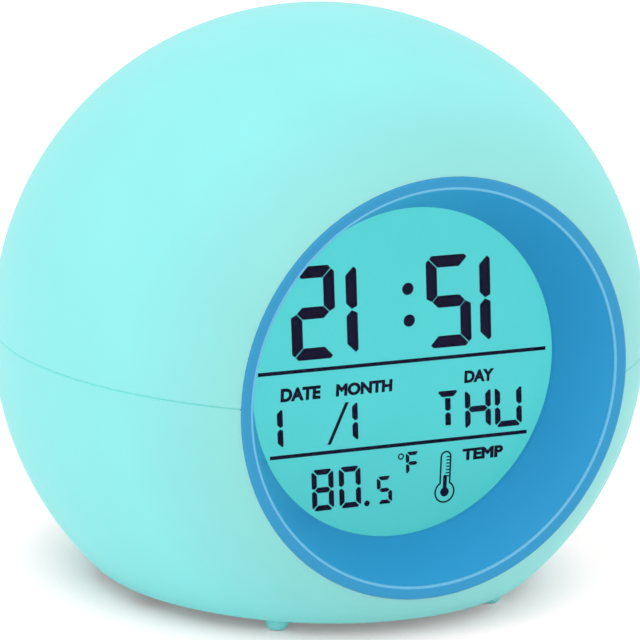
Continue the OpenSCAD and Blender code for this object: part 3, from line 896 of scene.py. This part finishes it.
def sign(char, x, width, y, height, bar, gap, lean):
    """Outlines of one lit sign. Its top leans to the left by lean per height."""
    shapes = segment_shapes(width, height, bar, gap)
    return [
        [(x + px - lean * py, y + py) for px, py in shapes[part]]
        for part in SEGMENTS[char]
    ]


def bulb_tube(x, low, high, tube, bulb):
    """Outline of a round bulb with a round-ended tube on top."""
    meet = math.degrees(math.asin(tube / bulb))
    bottom = arc((x, low), bulb, 90 + meet, 450 - meet, 24)
    return bottom + arc((x, high), tube, 0, 180, 12)


def printed_shapes():
    """Outlines of the signs, colon, rules, slash, point and thermometer, and pairs of
    outlines of its tube and the degree sign, which are lines."""
    shapes = [
        shape
        for row, signs in SIGN_ROWS
        for char, x, width in signs
        for shape in sign(char, x, width, *row)
    ]
    colon = [disc(0.54, 12.47, 0.93), disc(1.0, 7.62, 0.93)]
    rules = [box(-23.56, 24.45, 1.17, 1.73), box(-21.15, 21.9, -11.64, -11.08)]
    slash = [(-9.1, -3.95), (-8.55, -3.95), (-11.25, -10.2), (-11.8, -10.2)]
    point = disc(-4.85, -19.9, 0.45)
    tube_x, bulb_y, tube_y = 8.2, -19.45, -13.98
    mercury = bulb_tube(tube_x, bulb_y, -17.1, 0.31, 0.72)
    ticks = [
        box(tube_x + 0.1, tube_x + 0.68, y - 0.09, y + 0.09)
        for y in [-14.0 - 0.5 * i for i in range(7)]
    ]
    shapes += [*colon, *rules, slash, point, mercury, *ticks]
    tube = [bulb_tube(tube_x, bulb_y, tube_y, *r) for r in ((0.93, 1.72), (0.68, 1.47))]
    degree = [disc(0.55, -13.2, radius) for radius in (0.5, 0.3)]
    return shapes, (tube, degree)


def lettering(name, rows):
    """Printed words in one piece."""
    made = bmesh.new()
    middle, thickness = (ART_BACK + ART_FRONT) / 2, ART_FRONT - ART_BACK
    extrude, bevel = 0.5, 0.05
    for word, left, right, bottom, top in rows:
        text = bpy.data.curves.new(name, "FONT")
        text.body = word
        text.extrude = extrude
        text.bevel_depth = bevel
        text.bevel_resolution = 0
        holder = link(name, text)
        bpy.context.view_layer.update()
        view = bpy.context.evaluated_depsgraph_get()
        flat = bpy.data.meshes.new_from_object(holder.evaluated_get(view))
        xs = [v.co.x for v in flat.vertices]
        ys = [v.co.y for v in flat.vertices]
        across = (right - left) / (max(xs) - min(xs))
        upward = (top - bottom) / (max(ys) - min(ys))
        corner = (left - min(xs) * across, bottom - min(ys) * upward, middle)
        scale = (across, upward, thickness / (2 * (extrude + bevel)), 1)
        flat.transform(FRONT @ Matrix.Translation(corner) @ Matrix.Diagonal(scale))
        made.from_mesh(flat)
        bpy.data.objects.remove(holder)
        bpy.data.curves.remove(text)
        bpy.data.meshes.remove(flat)
    return finished(name, made)


def glass_layers(sizes):
    """The display's glass plates and the bonds between them, as (outline, back,
    front). The front plate has a ledge at the bottom for the contacts."""
    half, collar_r = glass_sizes(sizes)
    corner_r = half / math.cos(EIGHTH_TURN / 2)
    turns = [EIGHTH_TURN * (i + 0.5) for i in range(8)]
    octagon = [(corner_r * math.cos(t), corner_r * math.sin(t)) for t in turns]
    ledge_half = 7.5
    ledge_low = on_ball(collar_r, ledge_half) - 0.2
    ledge = [(-ledge_half, -half), (-ledge_half, -ledge_low)]
    ledged = octagon[:6] + ledge + flipped(ledge, x=-1)[::-1] + octagon[6:]
    film_share, overlap = 0.985, 0.02
    film = [(x * film_share, y * film_share) for x, y in octagon]
    return (
        (octagon, GUIDE_FRONT, REAR_PLATE_FRONT),
        (film, REAR_PLATE_FRONT, BOND_FRONT),
        (ledged, BOND_FRONT, FRONT_PLATE_FRONT),
        (film, FRONT_PLATE_FRONT, ART_BACK + overlap),
    )


class CLOCK_OT_display(ClockStep, bpy.types.Operator):
    """Draw the lit display with its segments, rules, legends and thermometer"""

    bl_idname = "clock.display"
    bl_label = "Display"

    def execute(self, context):
        glass = draw("display_lit", *each(prism, glass_layers(self.sizes), FRONT))
        lit = lit_crystal(self.colours.display)
        settle(glass, lit, replaced=["display_glass"])
        shapes, lines = printed_shapes()
        print_place = (ART_BACK, ART_FRONT, FRONT)
        segments = draw(
            "display_segments",
            *each(prism, [(shape,) for shape in shapes], *print_place),
            *each(ring, lines, *print_place),
        )
        dark = dark_crystal(self.colours.segment)
        settle(segments, dark)
        settle(lettering("display_legends", WORDS), dark)
        return {"FINISHED"}


# ---------- rear ----------


def key_marks():
    """Outlines of the raised mark on each key. Seen from behind, -x is to the right
    and -y is up."""
    ray_near, ray_far, ray_half = 0.95, 1.5, 0.11
    sun = [disc(0, 0, 0.62, 24)]
    for i in range(8):
        c, s = math.cos(EIGHTH_TURN * i), math.sin(EIGHTH_TURN * i)
        ray = box(ray_near, ray_far, -ray_half, ray_half)
        sun.append([(c * x - s * y, s * x + c * y) for x, y in ray])
    bell = (
        [(-1.25, 0.75), (-0.85, 0.4)]
        + arc((0, -0.45), 0.85, 180, 360, 12)
        + [(0.85, 0.4), (1.25, 0.75)]
    )
    triangle = [(-1.15, 0.75), (1.15, 0.75), (0, -1.15)]
    return {
        "key_mode": [box(-1.2, 1.2, y - 0.18, y + 0.18) for y in (-0.8, 0, 0.8)],
        "key_set": [disc(0, 0, 0.85)],
        "key_light": sun,
        "key_up": [triangle],
        "key_down": [flipped(triangle, y=-1)],
        "key_alarm": [bell, disc(0, 1.15, 0.3, 16)],
    }


class CLOCK_OT_keys(ClockStep, bpy.types.Operator):
    """Draw the six keys with their collars, plungers and raised marks"""

    bl_idname = "clock.keys"
    bl_label = "Keys"

    def execute(self, context):
        radius = mm(self.sizes.key_width) / 2
        dome = BALL_R + mm(self.sizes.key_rise)
        white = moulded_abs(
            "ABS_white_satin",
            self.colours.key,
            roughness=0.4,
            clouds=0.01,
            grain_mm=0.25,
        )
        print_blue = moulded_abs(
            "ABS_blue_mark",
            self.colours.mark,
            roughness=0.45,
            clouds=0.02,
            grain_mm=0.25,
        )
        edge, collar, plunger, collar_t = 0.45, radius + 0.8, 1.6, 0.8
        # the plunger's tip is inside its switch
        tip, mark_rise = SWITCH_TOP - 0.8, 0.12
        rings = [
            (0, tip, None),
            (plunger - 0.2, tip, None),
            (plunger, tip + 0.2, None),
            (plunger, COLLAR_BACK - collar_t, None),
            (collar, COLLAR_BACK - collar_t, None),
            (collar, COLLAR_BACK, None),
            (radius, COLLAR_BACK, None),
        ]
        rings += [(r, h, dome) for r, h in rounded_edge(radius, 0, edge, 6)[::-1]]
        rings += [((radius - edge) * share, 0, dome) for share in (0.66, 0.33, 0)]
        marks = key_marks()
        for node, body, x, row in KEYS:
            y = -row * KEY_PITCH
            made = draw(f"{node}_cap", lambda m: domed_rings(m, x, y, rings, REAR))
            settle(made, white, body, [node])
            shapes = [(shape,) for shape in marks[node]]
            mark = draw(
                f"{node}_mark", *each(raised, shapes, x, y, dome, mark_rise, REAR)
            )
            settle(mark, print_blue, body)
        return {"FINISHED"}


def inlet_outline(grow):
    """Outline of the power inlet, with its slanted lower corners. Down is +Y here."""
    half, top, slant, middle = 3.75 + grow, 1.3 + grow, 0.9, 16.5
    flat = [(-half, -top), (half, -top), (half, 0)]
    flat += [(half - slant, top), (slant - half, top), (-half, 0)]
    return [(x, middle + y) for x, y in flat]


def panel_profile(radius):
    """Outline of the rear panel's section, as (radius, distance behind the middle).
    The outside carries the ball's form on."""
    wall, edge, flange_r, flange_wall = 1.6, 0.25, radius + 1.8, 1.4
    rim = on_ball(BALL_R, radius)
    flange, skirt_in = rim - 3.6, radius - wall
    tilt = math.degrees(math.asin((radius - edge) / BALL_R))
    inner_tilt = math.degrees(math.asin(skirt_in / INNER_R))
    return (
        arc((0, 0), BALL_R, 90, 90 - tilt, 40)
        + arc((radius - edge, rim - edge * 0.7), edge, 60, 0, 4)
        + [
            (radius, flange),
            (flange_r, flange),
            (flange_r, flange - flange_wall),
            (skirt_in, flange - flange_wall),
        ]
        + arc((0, 0), INNER_R, 90 - inner_tilt, 90, 24)
    )


def sound_holes():
    """Places of the sound holes, in two rings round one in the middle."""
    pitch, places = 3.1, [(0, 0)]
    for round_no in (1, 2):
        turns = [math.radians(60 / round_no * i) for i in range(6 * round_no)]
        reach = round_no * pitch
        places += [(reach * math.cos(t), reach * math.sin(t)) for t in turns]
    return places


class CLOCK_OT_panel(ClockStep, bpy.types.Operator):
    """Draw the rear panel with its key guides, loudspeaker cup and sound holes"""

    bl_idname = "clock.panel"
    bl_label = "Rear panel"

    def execute(self, context):
        profile = panel_profile(mm(self.sizes.panel_width) / 2)
        key_r, sound_r = mm(self.sizes.key_width) / 2, 0.7
        keys = [(x, -row * KEY_PITCH) for _, _, x, row in KEYS]
        posts = [(x, y) for x in (-8.5, 8.5) for y in (-16.5, 16.5)]
        cup_r, speaker_r, grille_r, cup_depth, seat = 11.2, 10.1, 8.8, 4.2, 1.2
        guide_wall, post_r, inlet_gap, pilot_end = 1.1, 2, 0.4, 41.76
        # studs and the cup end inside the wall, and holes run on past their ends
        in_wall, cup_in_wall, outside, past_inlet = BALL_R - 1, 48.4, 52, 56

        def stud(m, x, y, low, r):
            rings = [(0, low, None), (r, low, None), (r, 0, in_wall), (0, 0, in_wall)]
            domed_rings(m, x, y, rings, REAR)

        def studs(spots, low, r):
            return [("UNION", drawing) for drawing in each(stud, spots, low, r)]

        def round_cut(operation, low, high, r):
            return operation, lambda m: rod(m, 0, 0, low, high, r, REAR, 96)

        made = draw("rear_panel_dome", lambda m: lathe(m, profile, REAR))
        carve(
            made,
            *studs(keys, GUIDE_BACK, key_r + guide_wall),
            *studs(posts, KEY_BOARD, post_r),
            round_cut("UNION", SPEAKER_BACK - cup_depth, cup_in_wall, cup_r),
            round_cut("DIFFERENCE", 40, SPEAKER_BACK, speaker_r),
            round_cut("DIFFERENCE", 45, SPEAKER_BACK + seat, grille_r),
            (
                "DIFFERENCE",
                *each(rod, keys, 41, outside, key_r + KEY_GAP, REAR),
                *each(rod, sound_holes(), 46, outside, sound_r, REAR, 24),
                *each(rod, posts, 35, pilot_end, SCREW_HOLE_R, REAR),
                lambda m: prism(m, inlet_outline(inlet_gap), 36, past_inlet, REAR),
            ),
        )
        finish = shell_finish(self.colours)
        settle(made, finish, replaced=["rear_panel"])
        return {"FINISHED"}


def shell_finish(colours):
    """The ball's own finish, made once. Towards the front, beside the bezel, its colour
    is darkened and made less aqua: painted shade."""
    name = "ABS_aqua_translucent"
    if name in bpy.data.materials:
        return bpy.data.materials[name]
    made = moulded_abs(
        name,
        colours.shell,
        roughness=0.5,
        clouds=0.012,
        grain_mm=0.35,
        inputs={
            "Subsurface Weight": 0.12,
            "Subsurface Radius": (0.6, 1.0, 1.0),
            "Subsurface Scale": 1.5 * MM,
            "Specular IOR Level": 0.35,
        },
    )
    # painted shade: darker and less aqua towards the bezel
    return painted_shade_forward(made, 24, 38.5, "#FFF0ED")


class CLOCK_OT_shells(ClockStep, bpy.types.Operator):
    """Give the two half shells and the battery door their translucent finish"""

    bl_idname = "clock.shells"
    bl_label = "Half shells"

    def execute(self, context):
        finish = shell_finish(self.colours)
        dress(finish, "upper_shell", "lower_shell", "battery_door")
        arrow = [(-1.6, 13.6), (1.6, 13.6), (0, 16.2)]
        base, raise_mm, sunk = -36.4, 0.15, 0.3
        mark = draw(
            "door_arrow", lambda m: prism(m, arrow, base - raise_mm, base + sunk)
        )
        settle(mark, finish, "door")
        return {"FINISHED"}


# ---------- inside ----------


def in_battery_box(row, way, reach):
    """From a lathe's axis to a cell's place, that far from the box's negative end."""
    return (
        Matrix.Translation((0, row * CELL_PITCH, CELL_HEIGHT))
        @ Matrix.Rotation(0 if way > 0 else math.pi, 4, "Z")
        @ Matrix.Translation((reach - BOX_HALF, 0, 0))
        @ ALONG_X
    )


def cell_profiles(sizes):
    """Sections of a cell's can, of the sleeve round it and of the sleeve's band, as
    (radius, distance from the negative end)."""
    radius, total = mm(sizes.cell_width) / 2, mm(sizes.cell_length)
    can_r, shoulder, nub, split = radius - 0.25, total - 0.9, 1.9, total * 0.78
    sleeve_in = can_r + 0.05
    can = (
        [(0, 0.2), (can_r - 1.5, 0.2), (can_r - 1.2, 0), (can_r - 0.5, 0)]
        + [(can_r - 0.1, 0.3), (can_r, 0.7), (can_r, shoulder - 0.8)]
        + [(can_r - 0.3, shoulder - 0.15), (can_r - 0.7, shoulder - 0.1)]
        + [(can_r - 1.1, shoulder - 0.5), (nub + 0.2, shoulder - 0.5)]
        + [(nub, shoulder - 0.3), *rounded_edge(nub, total, 0.3), (0, total)]
    )
    sleeve = (
        [(can_r - 0.3, 0.1), (can_r + 0.1, 0.12), (radius, 0.4), (radius, split)]
        + [(sleeve_in, split), (sleeve_in, 0.6), (can_r - 0.1, 0.35)]
        + [(can_r - 0.3, 0.3)]
    )
    band = (
        [(radius, split), (radius, shoulder - 0.5), (can_r + 0.1, shoulder - 0.1)]
        + [(can_r - 0.4, shoulder), (can_r - 0.4, shoulder - 0.12)]
        + [(sleeve_in, shoulder - 0.6), (sleeve_in, split)]
    )
    return can, sleeve, band


class CLOCK_OT_cells(ClockStep, bpy.types.Operator):
    """Draw the three cells with their cans, sleeves and nubs"""

    bl_idname = "clock.cells"
    bl_label = "Cells"

    def execute(self, context):
        steel = plated_steel("steel_nickel_plated", "#D2D3D1", 0.28)
        # printed film that is shrunk on with heat: smooth, with soft waves
        look = {"roughness": 0.3, "grain_mm": 4, "depth_mm": 0.01}
        blue = plain_finish("PVC_sleeve_blue", self.colours.sleeve, **look)
        silver = plain_finish("PVC_sleeve_silver", self.colours.band, **look)
        can, sleeve, band = cell_profiles(self.sizes)
        for node, row, way in CELL_ROWS:
            turned = in_battery_box(row, way, SPRING_ROOM)
            for part, profile, finish, slot, replaced in (
                ("can", can, steel, "steel", [node]),
                ("sleeve", sleeve, blue, "cell_sleeve", []),
                ("band", band, silver, "cell_sleeve", []),
            ):
                made = draw(
                    f"{node}_{part}", lambda m: lathe(m, profile, turned, 96)
                )
                settle(made, finish, replaced=replaced)
        return {"FINISHED"}


def coil(mesh, row, way, wire, turns):
    """A spring of round wire with that radius, wound narrower towards its cell."""
    wide, tip, sides, steps = 3.2, 1.8, 12, 36 * turns
    span = SPRING_ROOM - PLATE_WALL - 2 * wire
    turned = in_battery_box(row, way, PLATE_WALL)
    loops = []
    for step in range(steps + 1):
        share = step / steps
        turn = math.tau * turns * share
        radius = wide + (tip - wide) * share
        rise = wire + span * share
        loop = []
        for r, z in disc(radius, rise, wire, sides):
            point = Vector((r * math.cos(turn), r * math.sin(turn), z))
            loop.append(mesh.verts.new(turned @ point))
        loops.append(loop)
    capped(mesh, loops)


class CLOCK_OT_contacts(ClockStep, bpy.types.Operator):
    """Draw the wound contact springs, and give the other metal its plating"""

    bl_idname = "clock.contacts"
    bl_label = "Contacts and screws"

    def execute(self, context):
        steel = bpy.data.materials["steel_nickel_plated"]
        wire = mm(self.sizes.wire_width) / 2
        rows = [(row, way) for _, row, way in CELL_ROWS]
        springs = each(coil, rows, wire, self.sizes.spring_turns)
        springs = draw("wound_springs", *springs)
        settle(springs, steel, replaced=["contact_springs"])
        dress(steel, "contact_plates", "power_inlet", "tap_sensor")
        screw_steel = plated_steel("steel_zinc_plated", "#BFC3C9", 0.34)
        holders = ("shell", "board", "light_board", "key_board")
        dress(screw_steel, *[f"{holder}_screws" for holder in holders])
        return {"FINISHED"}


class CLOCK_OT_electronics(ClockStep, bpy.types.Operator):
    """Give the boards, parts, lamps, leads and display films their finishes"""

    bl_idname = "clock.electronics"
    bl_label = "Electronics"

    def execute(self, context):
        green = solder_mask("FR4_green_solder_mask", "#1F6B41", "#4F9A62")
        white = solder_mask("FR4_white_solder_mask", "#E9ECEA", "#F6F6F0")
        dress(green, "main_board", "key_board")
        dress(white, "light_board")
        black_parts = ("board_parts", "key_switches")
        frosted = {"Transmission Weight": 0.6, "IOR": 1.49}
        # each row: name, colour, roughness, grain and its depth in millimetres, nodes
        for name, code, roughness, grain, depth, nodes, inputs in (
            # poured over the chip, so glossy with a wavy skin
            ("epoxy_black_poured", "#17181A", 0.18, 1.5, 0.02, ["controller_blob"], {}),
            # moulded with filler, so dull and even
            ("epoxy_black_moulded", "#26282B", 0.5, 0.3, 0.005, black_parts, {}),
            # pressed pulp, so matt and fibrous
            ("paper_cone_black", "#1D1D1F", 0.8, 0.6, 0.03, ["speaker"], {}),
            # roughened at the back, so milky where the light comes out
            (
                "PMMA_light_guide_frosted",
                "#DDF7F6",
                0.4,
                0.5,
                0.01,
                ["light_guide"],
                frosted,
            ),
            # stretched film with white filler, so smooth and bright
            ("PET_film_white", "#F4F6F5", 0.3, 0.8, 0.004, ["reflector_film"], {}),
            # moulded nylon, so satin and a little yellow
            ("nylon_white_moulded", "#EDEBE2", 0.45, 0.3, 0.004, ["ribbon_plugs"], {}),
        ):
            made = plain_finish(name, linear(code), roughness, grain, depth, inputs)
            dress(made, *nodes)
        # white ceramic up to the top of the lamps, which is yellow phosphor
        lamp, tree, shader = new_finish("ceramic_white_with_phosphor", {"IOR": 1.5})
        place = add(tree, "TexCoord").outputs["Object"]
        height = add(tree, "SeparateXYZ", {"Vector": place}).outputs["Z"]
        low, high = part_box("light_lamps")
        top = high.z - (high.z - low.z) * 0.15
        cup = add(tree, "Math", {0: height, 1: top}, operation="GREATER_THAN")
        colours = {0: cup.outputs[0], 6: linear("#F3F3EE"), 7: linear("#F2E27A")}
        tone = add(tree, "Mix", colours, data_type="RGBA")
        tree.links.new(tone.outputs[2], shader.inputs["Base Color"])
        roughen(tree, shader, speckle(tree, 0.4), 0.3, 0.4)
        dress(lamp, "light_lamps", "backlight_lamps")
        for name, codes, pitch, rough, node in (
            ("PVC_ribbon_grey", ("#8B9AA3", "#A3B1B8"), 1.0, 0.45, "ribbon_lead"),
            ("PVC_ribbon_white", ("#DADDDC", "#F2F4F3"), 1.0, 0.45, "light_lead"),
            (
                "silicone_rubber_layered",
                ("#D98C9A", "#3A3032"),
                0.5,
                0.6,
                "contact_strip",
            ),
        ):
            dress(striped(name, codes, pitch, rough), node)
        return {"FINISHED"}


# ---------- stage ----------


def seen_directly(tree):
    """1 for rays from the camera and rays that mirrors and glass send on."""
    rays = add(tree, "LightPath").outputs
    seen = rays["Is Camera Ray"]
    for kind in ("Is Glossy Ray", "Is Transmission Ray"):
        either = add(tree, "Math", {0: seen, 1: rays[kind]}, operation="MAXIMUM")
        seen = either.outputs[0]
    return seen


def set_up_camera(studio):
    """The photograph's camera."""
    a, e, roll = studio.azimuth, studio.elevation, studio.roll
    back = Vector((math.sin(a) * math.cos(e), -math.cos(a) * math.cos(e), math.sin(e)))
    right = Vector((math.cos(a), math.sin(a), 0))
    upward = back.cross(right)
    side = math.cos(roll) * right + math.sin(roll) * upward
    top = -math.sin(roll) * right + math.cos(roll) * upward
    camera = bpy.data.cameras.new("camera")
    camera.lens, camera.sensor_width = studio.lens, 36
    camera.shift_x, camera.shift_y = studio.shift_x, studio.shift_y
    camera.clip_start, camera.clip_end = 0.01, 50
    holder = link("camera", camera)
    turn = Matrix((side, top, back)).transposed().to_4x4()
    holder.matrix_world = Matrix.Translation(CENTRE + back * studio.distance) @ turn
    bpy.context.scene.camera = holder


def set_up_light(studio):
    """A large lamp above, in front and to the left, and an even white sky."""
    lamp = bpy.data.lights.new("softbox", "AREA")
    lamp.shape, lamp.size, lamp.energy = "SQUARE", studio.softbox_width, studio.softbox
    holder = link("softbox", lamp)
    aim = Vector((-0.55, -0.55, 1.0)).normalized()
    holder.location = CENTRE + aim * studio.softbox_distance
    holder.rotation_mode = "QUATERNION"
    holder.rotation_quaternion = aim.to_track_quat("Z", "Y")

    world = bpy.data.worlds.new("studio")
    bpy.context.scene.world = world
    world.use_nodes = True
    tree = world.node_tree
    tree.nodes.clear()
    white = {"Color": linear("#FFFFFF")}
    lit = add(tree, "Background", {**white, "Strength": studio.sky}).outputs[0]
    seen = add(tree, "Background", {**white, "Strength": 1.0}).outputs[0]
    mixed = add(tree, "MixShader", {0: seen_directly(tree), 1: lit, 2: seen})
    add(tree, "OutputWorld", {"Surface": mixed.outputs[0]})


def white_paper():
    """Matt white paper. To the camera it glows a little, which keeps it white. Near
    the ball the glow is reddened to give back the red that the aqua shell takes from the
    light: painted light. Under the ball it is weaker: a painted contact shadow."""
    paper = bpy.data.materials.new("paper_white_matt")
    paper.use_nodes = True
    tree = paper.node_tree
    tree.nodes.clear()
    direct = seen_directly(tree)
    # to the camera the paper is a little red: painted against the aqua light the shell
    # throws on it
    tone = {0: direct, 6: linear("#FBFBFB"), 7: linear("#F6EFEF")}
    tone = add(tree, "Mix", tone, data_type="RGBA").outputs[2]
    matt = add(tree, "BsdfDiffuse", {"Color": tone})
    place = add(tree, "TexCoord").outputs["Object"]
    away = add(tree, "VectorMath", {0: place}, operation="LENGTH").outputs["Value"]
    # from one distance in millimetres to another, and from one level to another
    near, level = (
        add(
            tree,
            "MapRange",
            {
                "Value": away,
                "From Min": start * MM,
                "From Max": end * MM,
                "To Min": low,
                "To Max": high,
            },
        ).outputs[0]
        for start, end, low, high in ((90, 52, 0, 1), (34, 46, 0.13, 0.3))
    )
    # painted light near the ball: red against the shell's aqua bounce
    painted_bounce_red = {0: near, 6: linear("#FFFFFF"), 7: (1.5, 1.0, 1.0, 1.0)}
    painted_bounce_red = add(tree, "Mix", painted_bounce_red, data_type="RGBA").outputs[2]
    lift = add(tree, "Math", {0: direct, 1: level}, operation="MULTIPLY").outputs[0]
    glow = add(tree, "Emission", {"Color": painted_bounce_red, "Strength": lift})
    both = add(tree, "AddShader", {0: matt.outputs[0], 1: glow.outputs[0]})
    add(tree, "OutputMaterial", {"Surface": both.outputs[0]})
    return paper


class CLOCK_OT_stage(ClockStep, bpy.types.Operator):
    """Set up the camera, the white floor, the even sky and the softbox"""

    bl_idname = "clock.stage"
    bl_label = "Stage"

    def execute(self, context):
        studio = context.scene.clock_studio
        set_up_camera(studio)
        set_up_light(studio)
        mesh = bmesh.new()
        half = studio.floor_width / 2
        bmesh.ops.create_grid(mesh, x_segments=12, y_segments=12, size=half)
        floor = finished("floor", mesh)
        floor.data.materials.append(white_paper())
        context.scene.view_settings.view_transform = "Standard"
        return {"FINISHED"}


STEPS = (
    CLOCK_OT_shells,
    CLOCK_OT_bezel,
    CLOCK_OT_window,
    CLOCK_OT_display,
    CLOCK_OT_panel,
    CLOCK_OT_keys,
    CLOCK_OT_cells,
    CLOCK_OT_contacts,
    CLOCK_OT_electronics,
    CLOCK_OT_stage,
)


class CLOCK_PT_build(bpy.types.Panel):
    """Lists the steps and their sizes in the sidebar"""

    bl_label = "Clock ball"
    bl_idname = "CLOCK_PT_build"
    bl_space_type = "VIEW_3D"
    bl_region_type = "UI"
    bl_category = "Clock ball"

    def draw(self, context):
        for group in ("clock_sizes", "clock_colours", "clock_studio"):
            settings = getattr(context.scene, group)
            column = self.layout.column(align=True)
            for name in settings.__annotations__:
                column.prop(settings, name)
        for step in STEPS:
            self.layout.operator(step.bl_idname)


GROUPS = (
    ("clock_sizes", ClockSizes),
    ("clock_colours", ClockColours),
    ("clock_studio", ClockStudio),
)


def register():
    for name, group in GROUPS:
        bpy.utils.register_class(group)
        setattr(bpy.types.Scene, name, PointerProperty(type=group))
    for kind in (*STEPS, CLOCK_PT_build):
        bpy.utils.register_class(kind)


def unregister():
    for kind in (CLOCK_PT_build, *reversed(STEPS)):
        bpy.utils.unregister_class(kind)
    for name, group in reversed(GROUPS):
        delattr(bpy.types.Scene, name)
        bpy.utils.unregister_class(group)


def main():
    register()
    for step in STEPS:
        group, name = step.bl_idname.split(".")
        getattr(getattr(bpy.ops, group), name)()


if __name__ == "__main__":
    main()
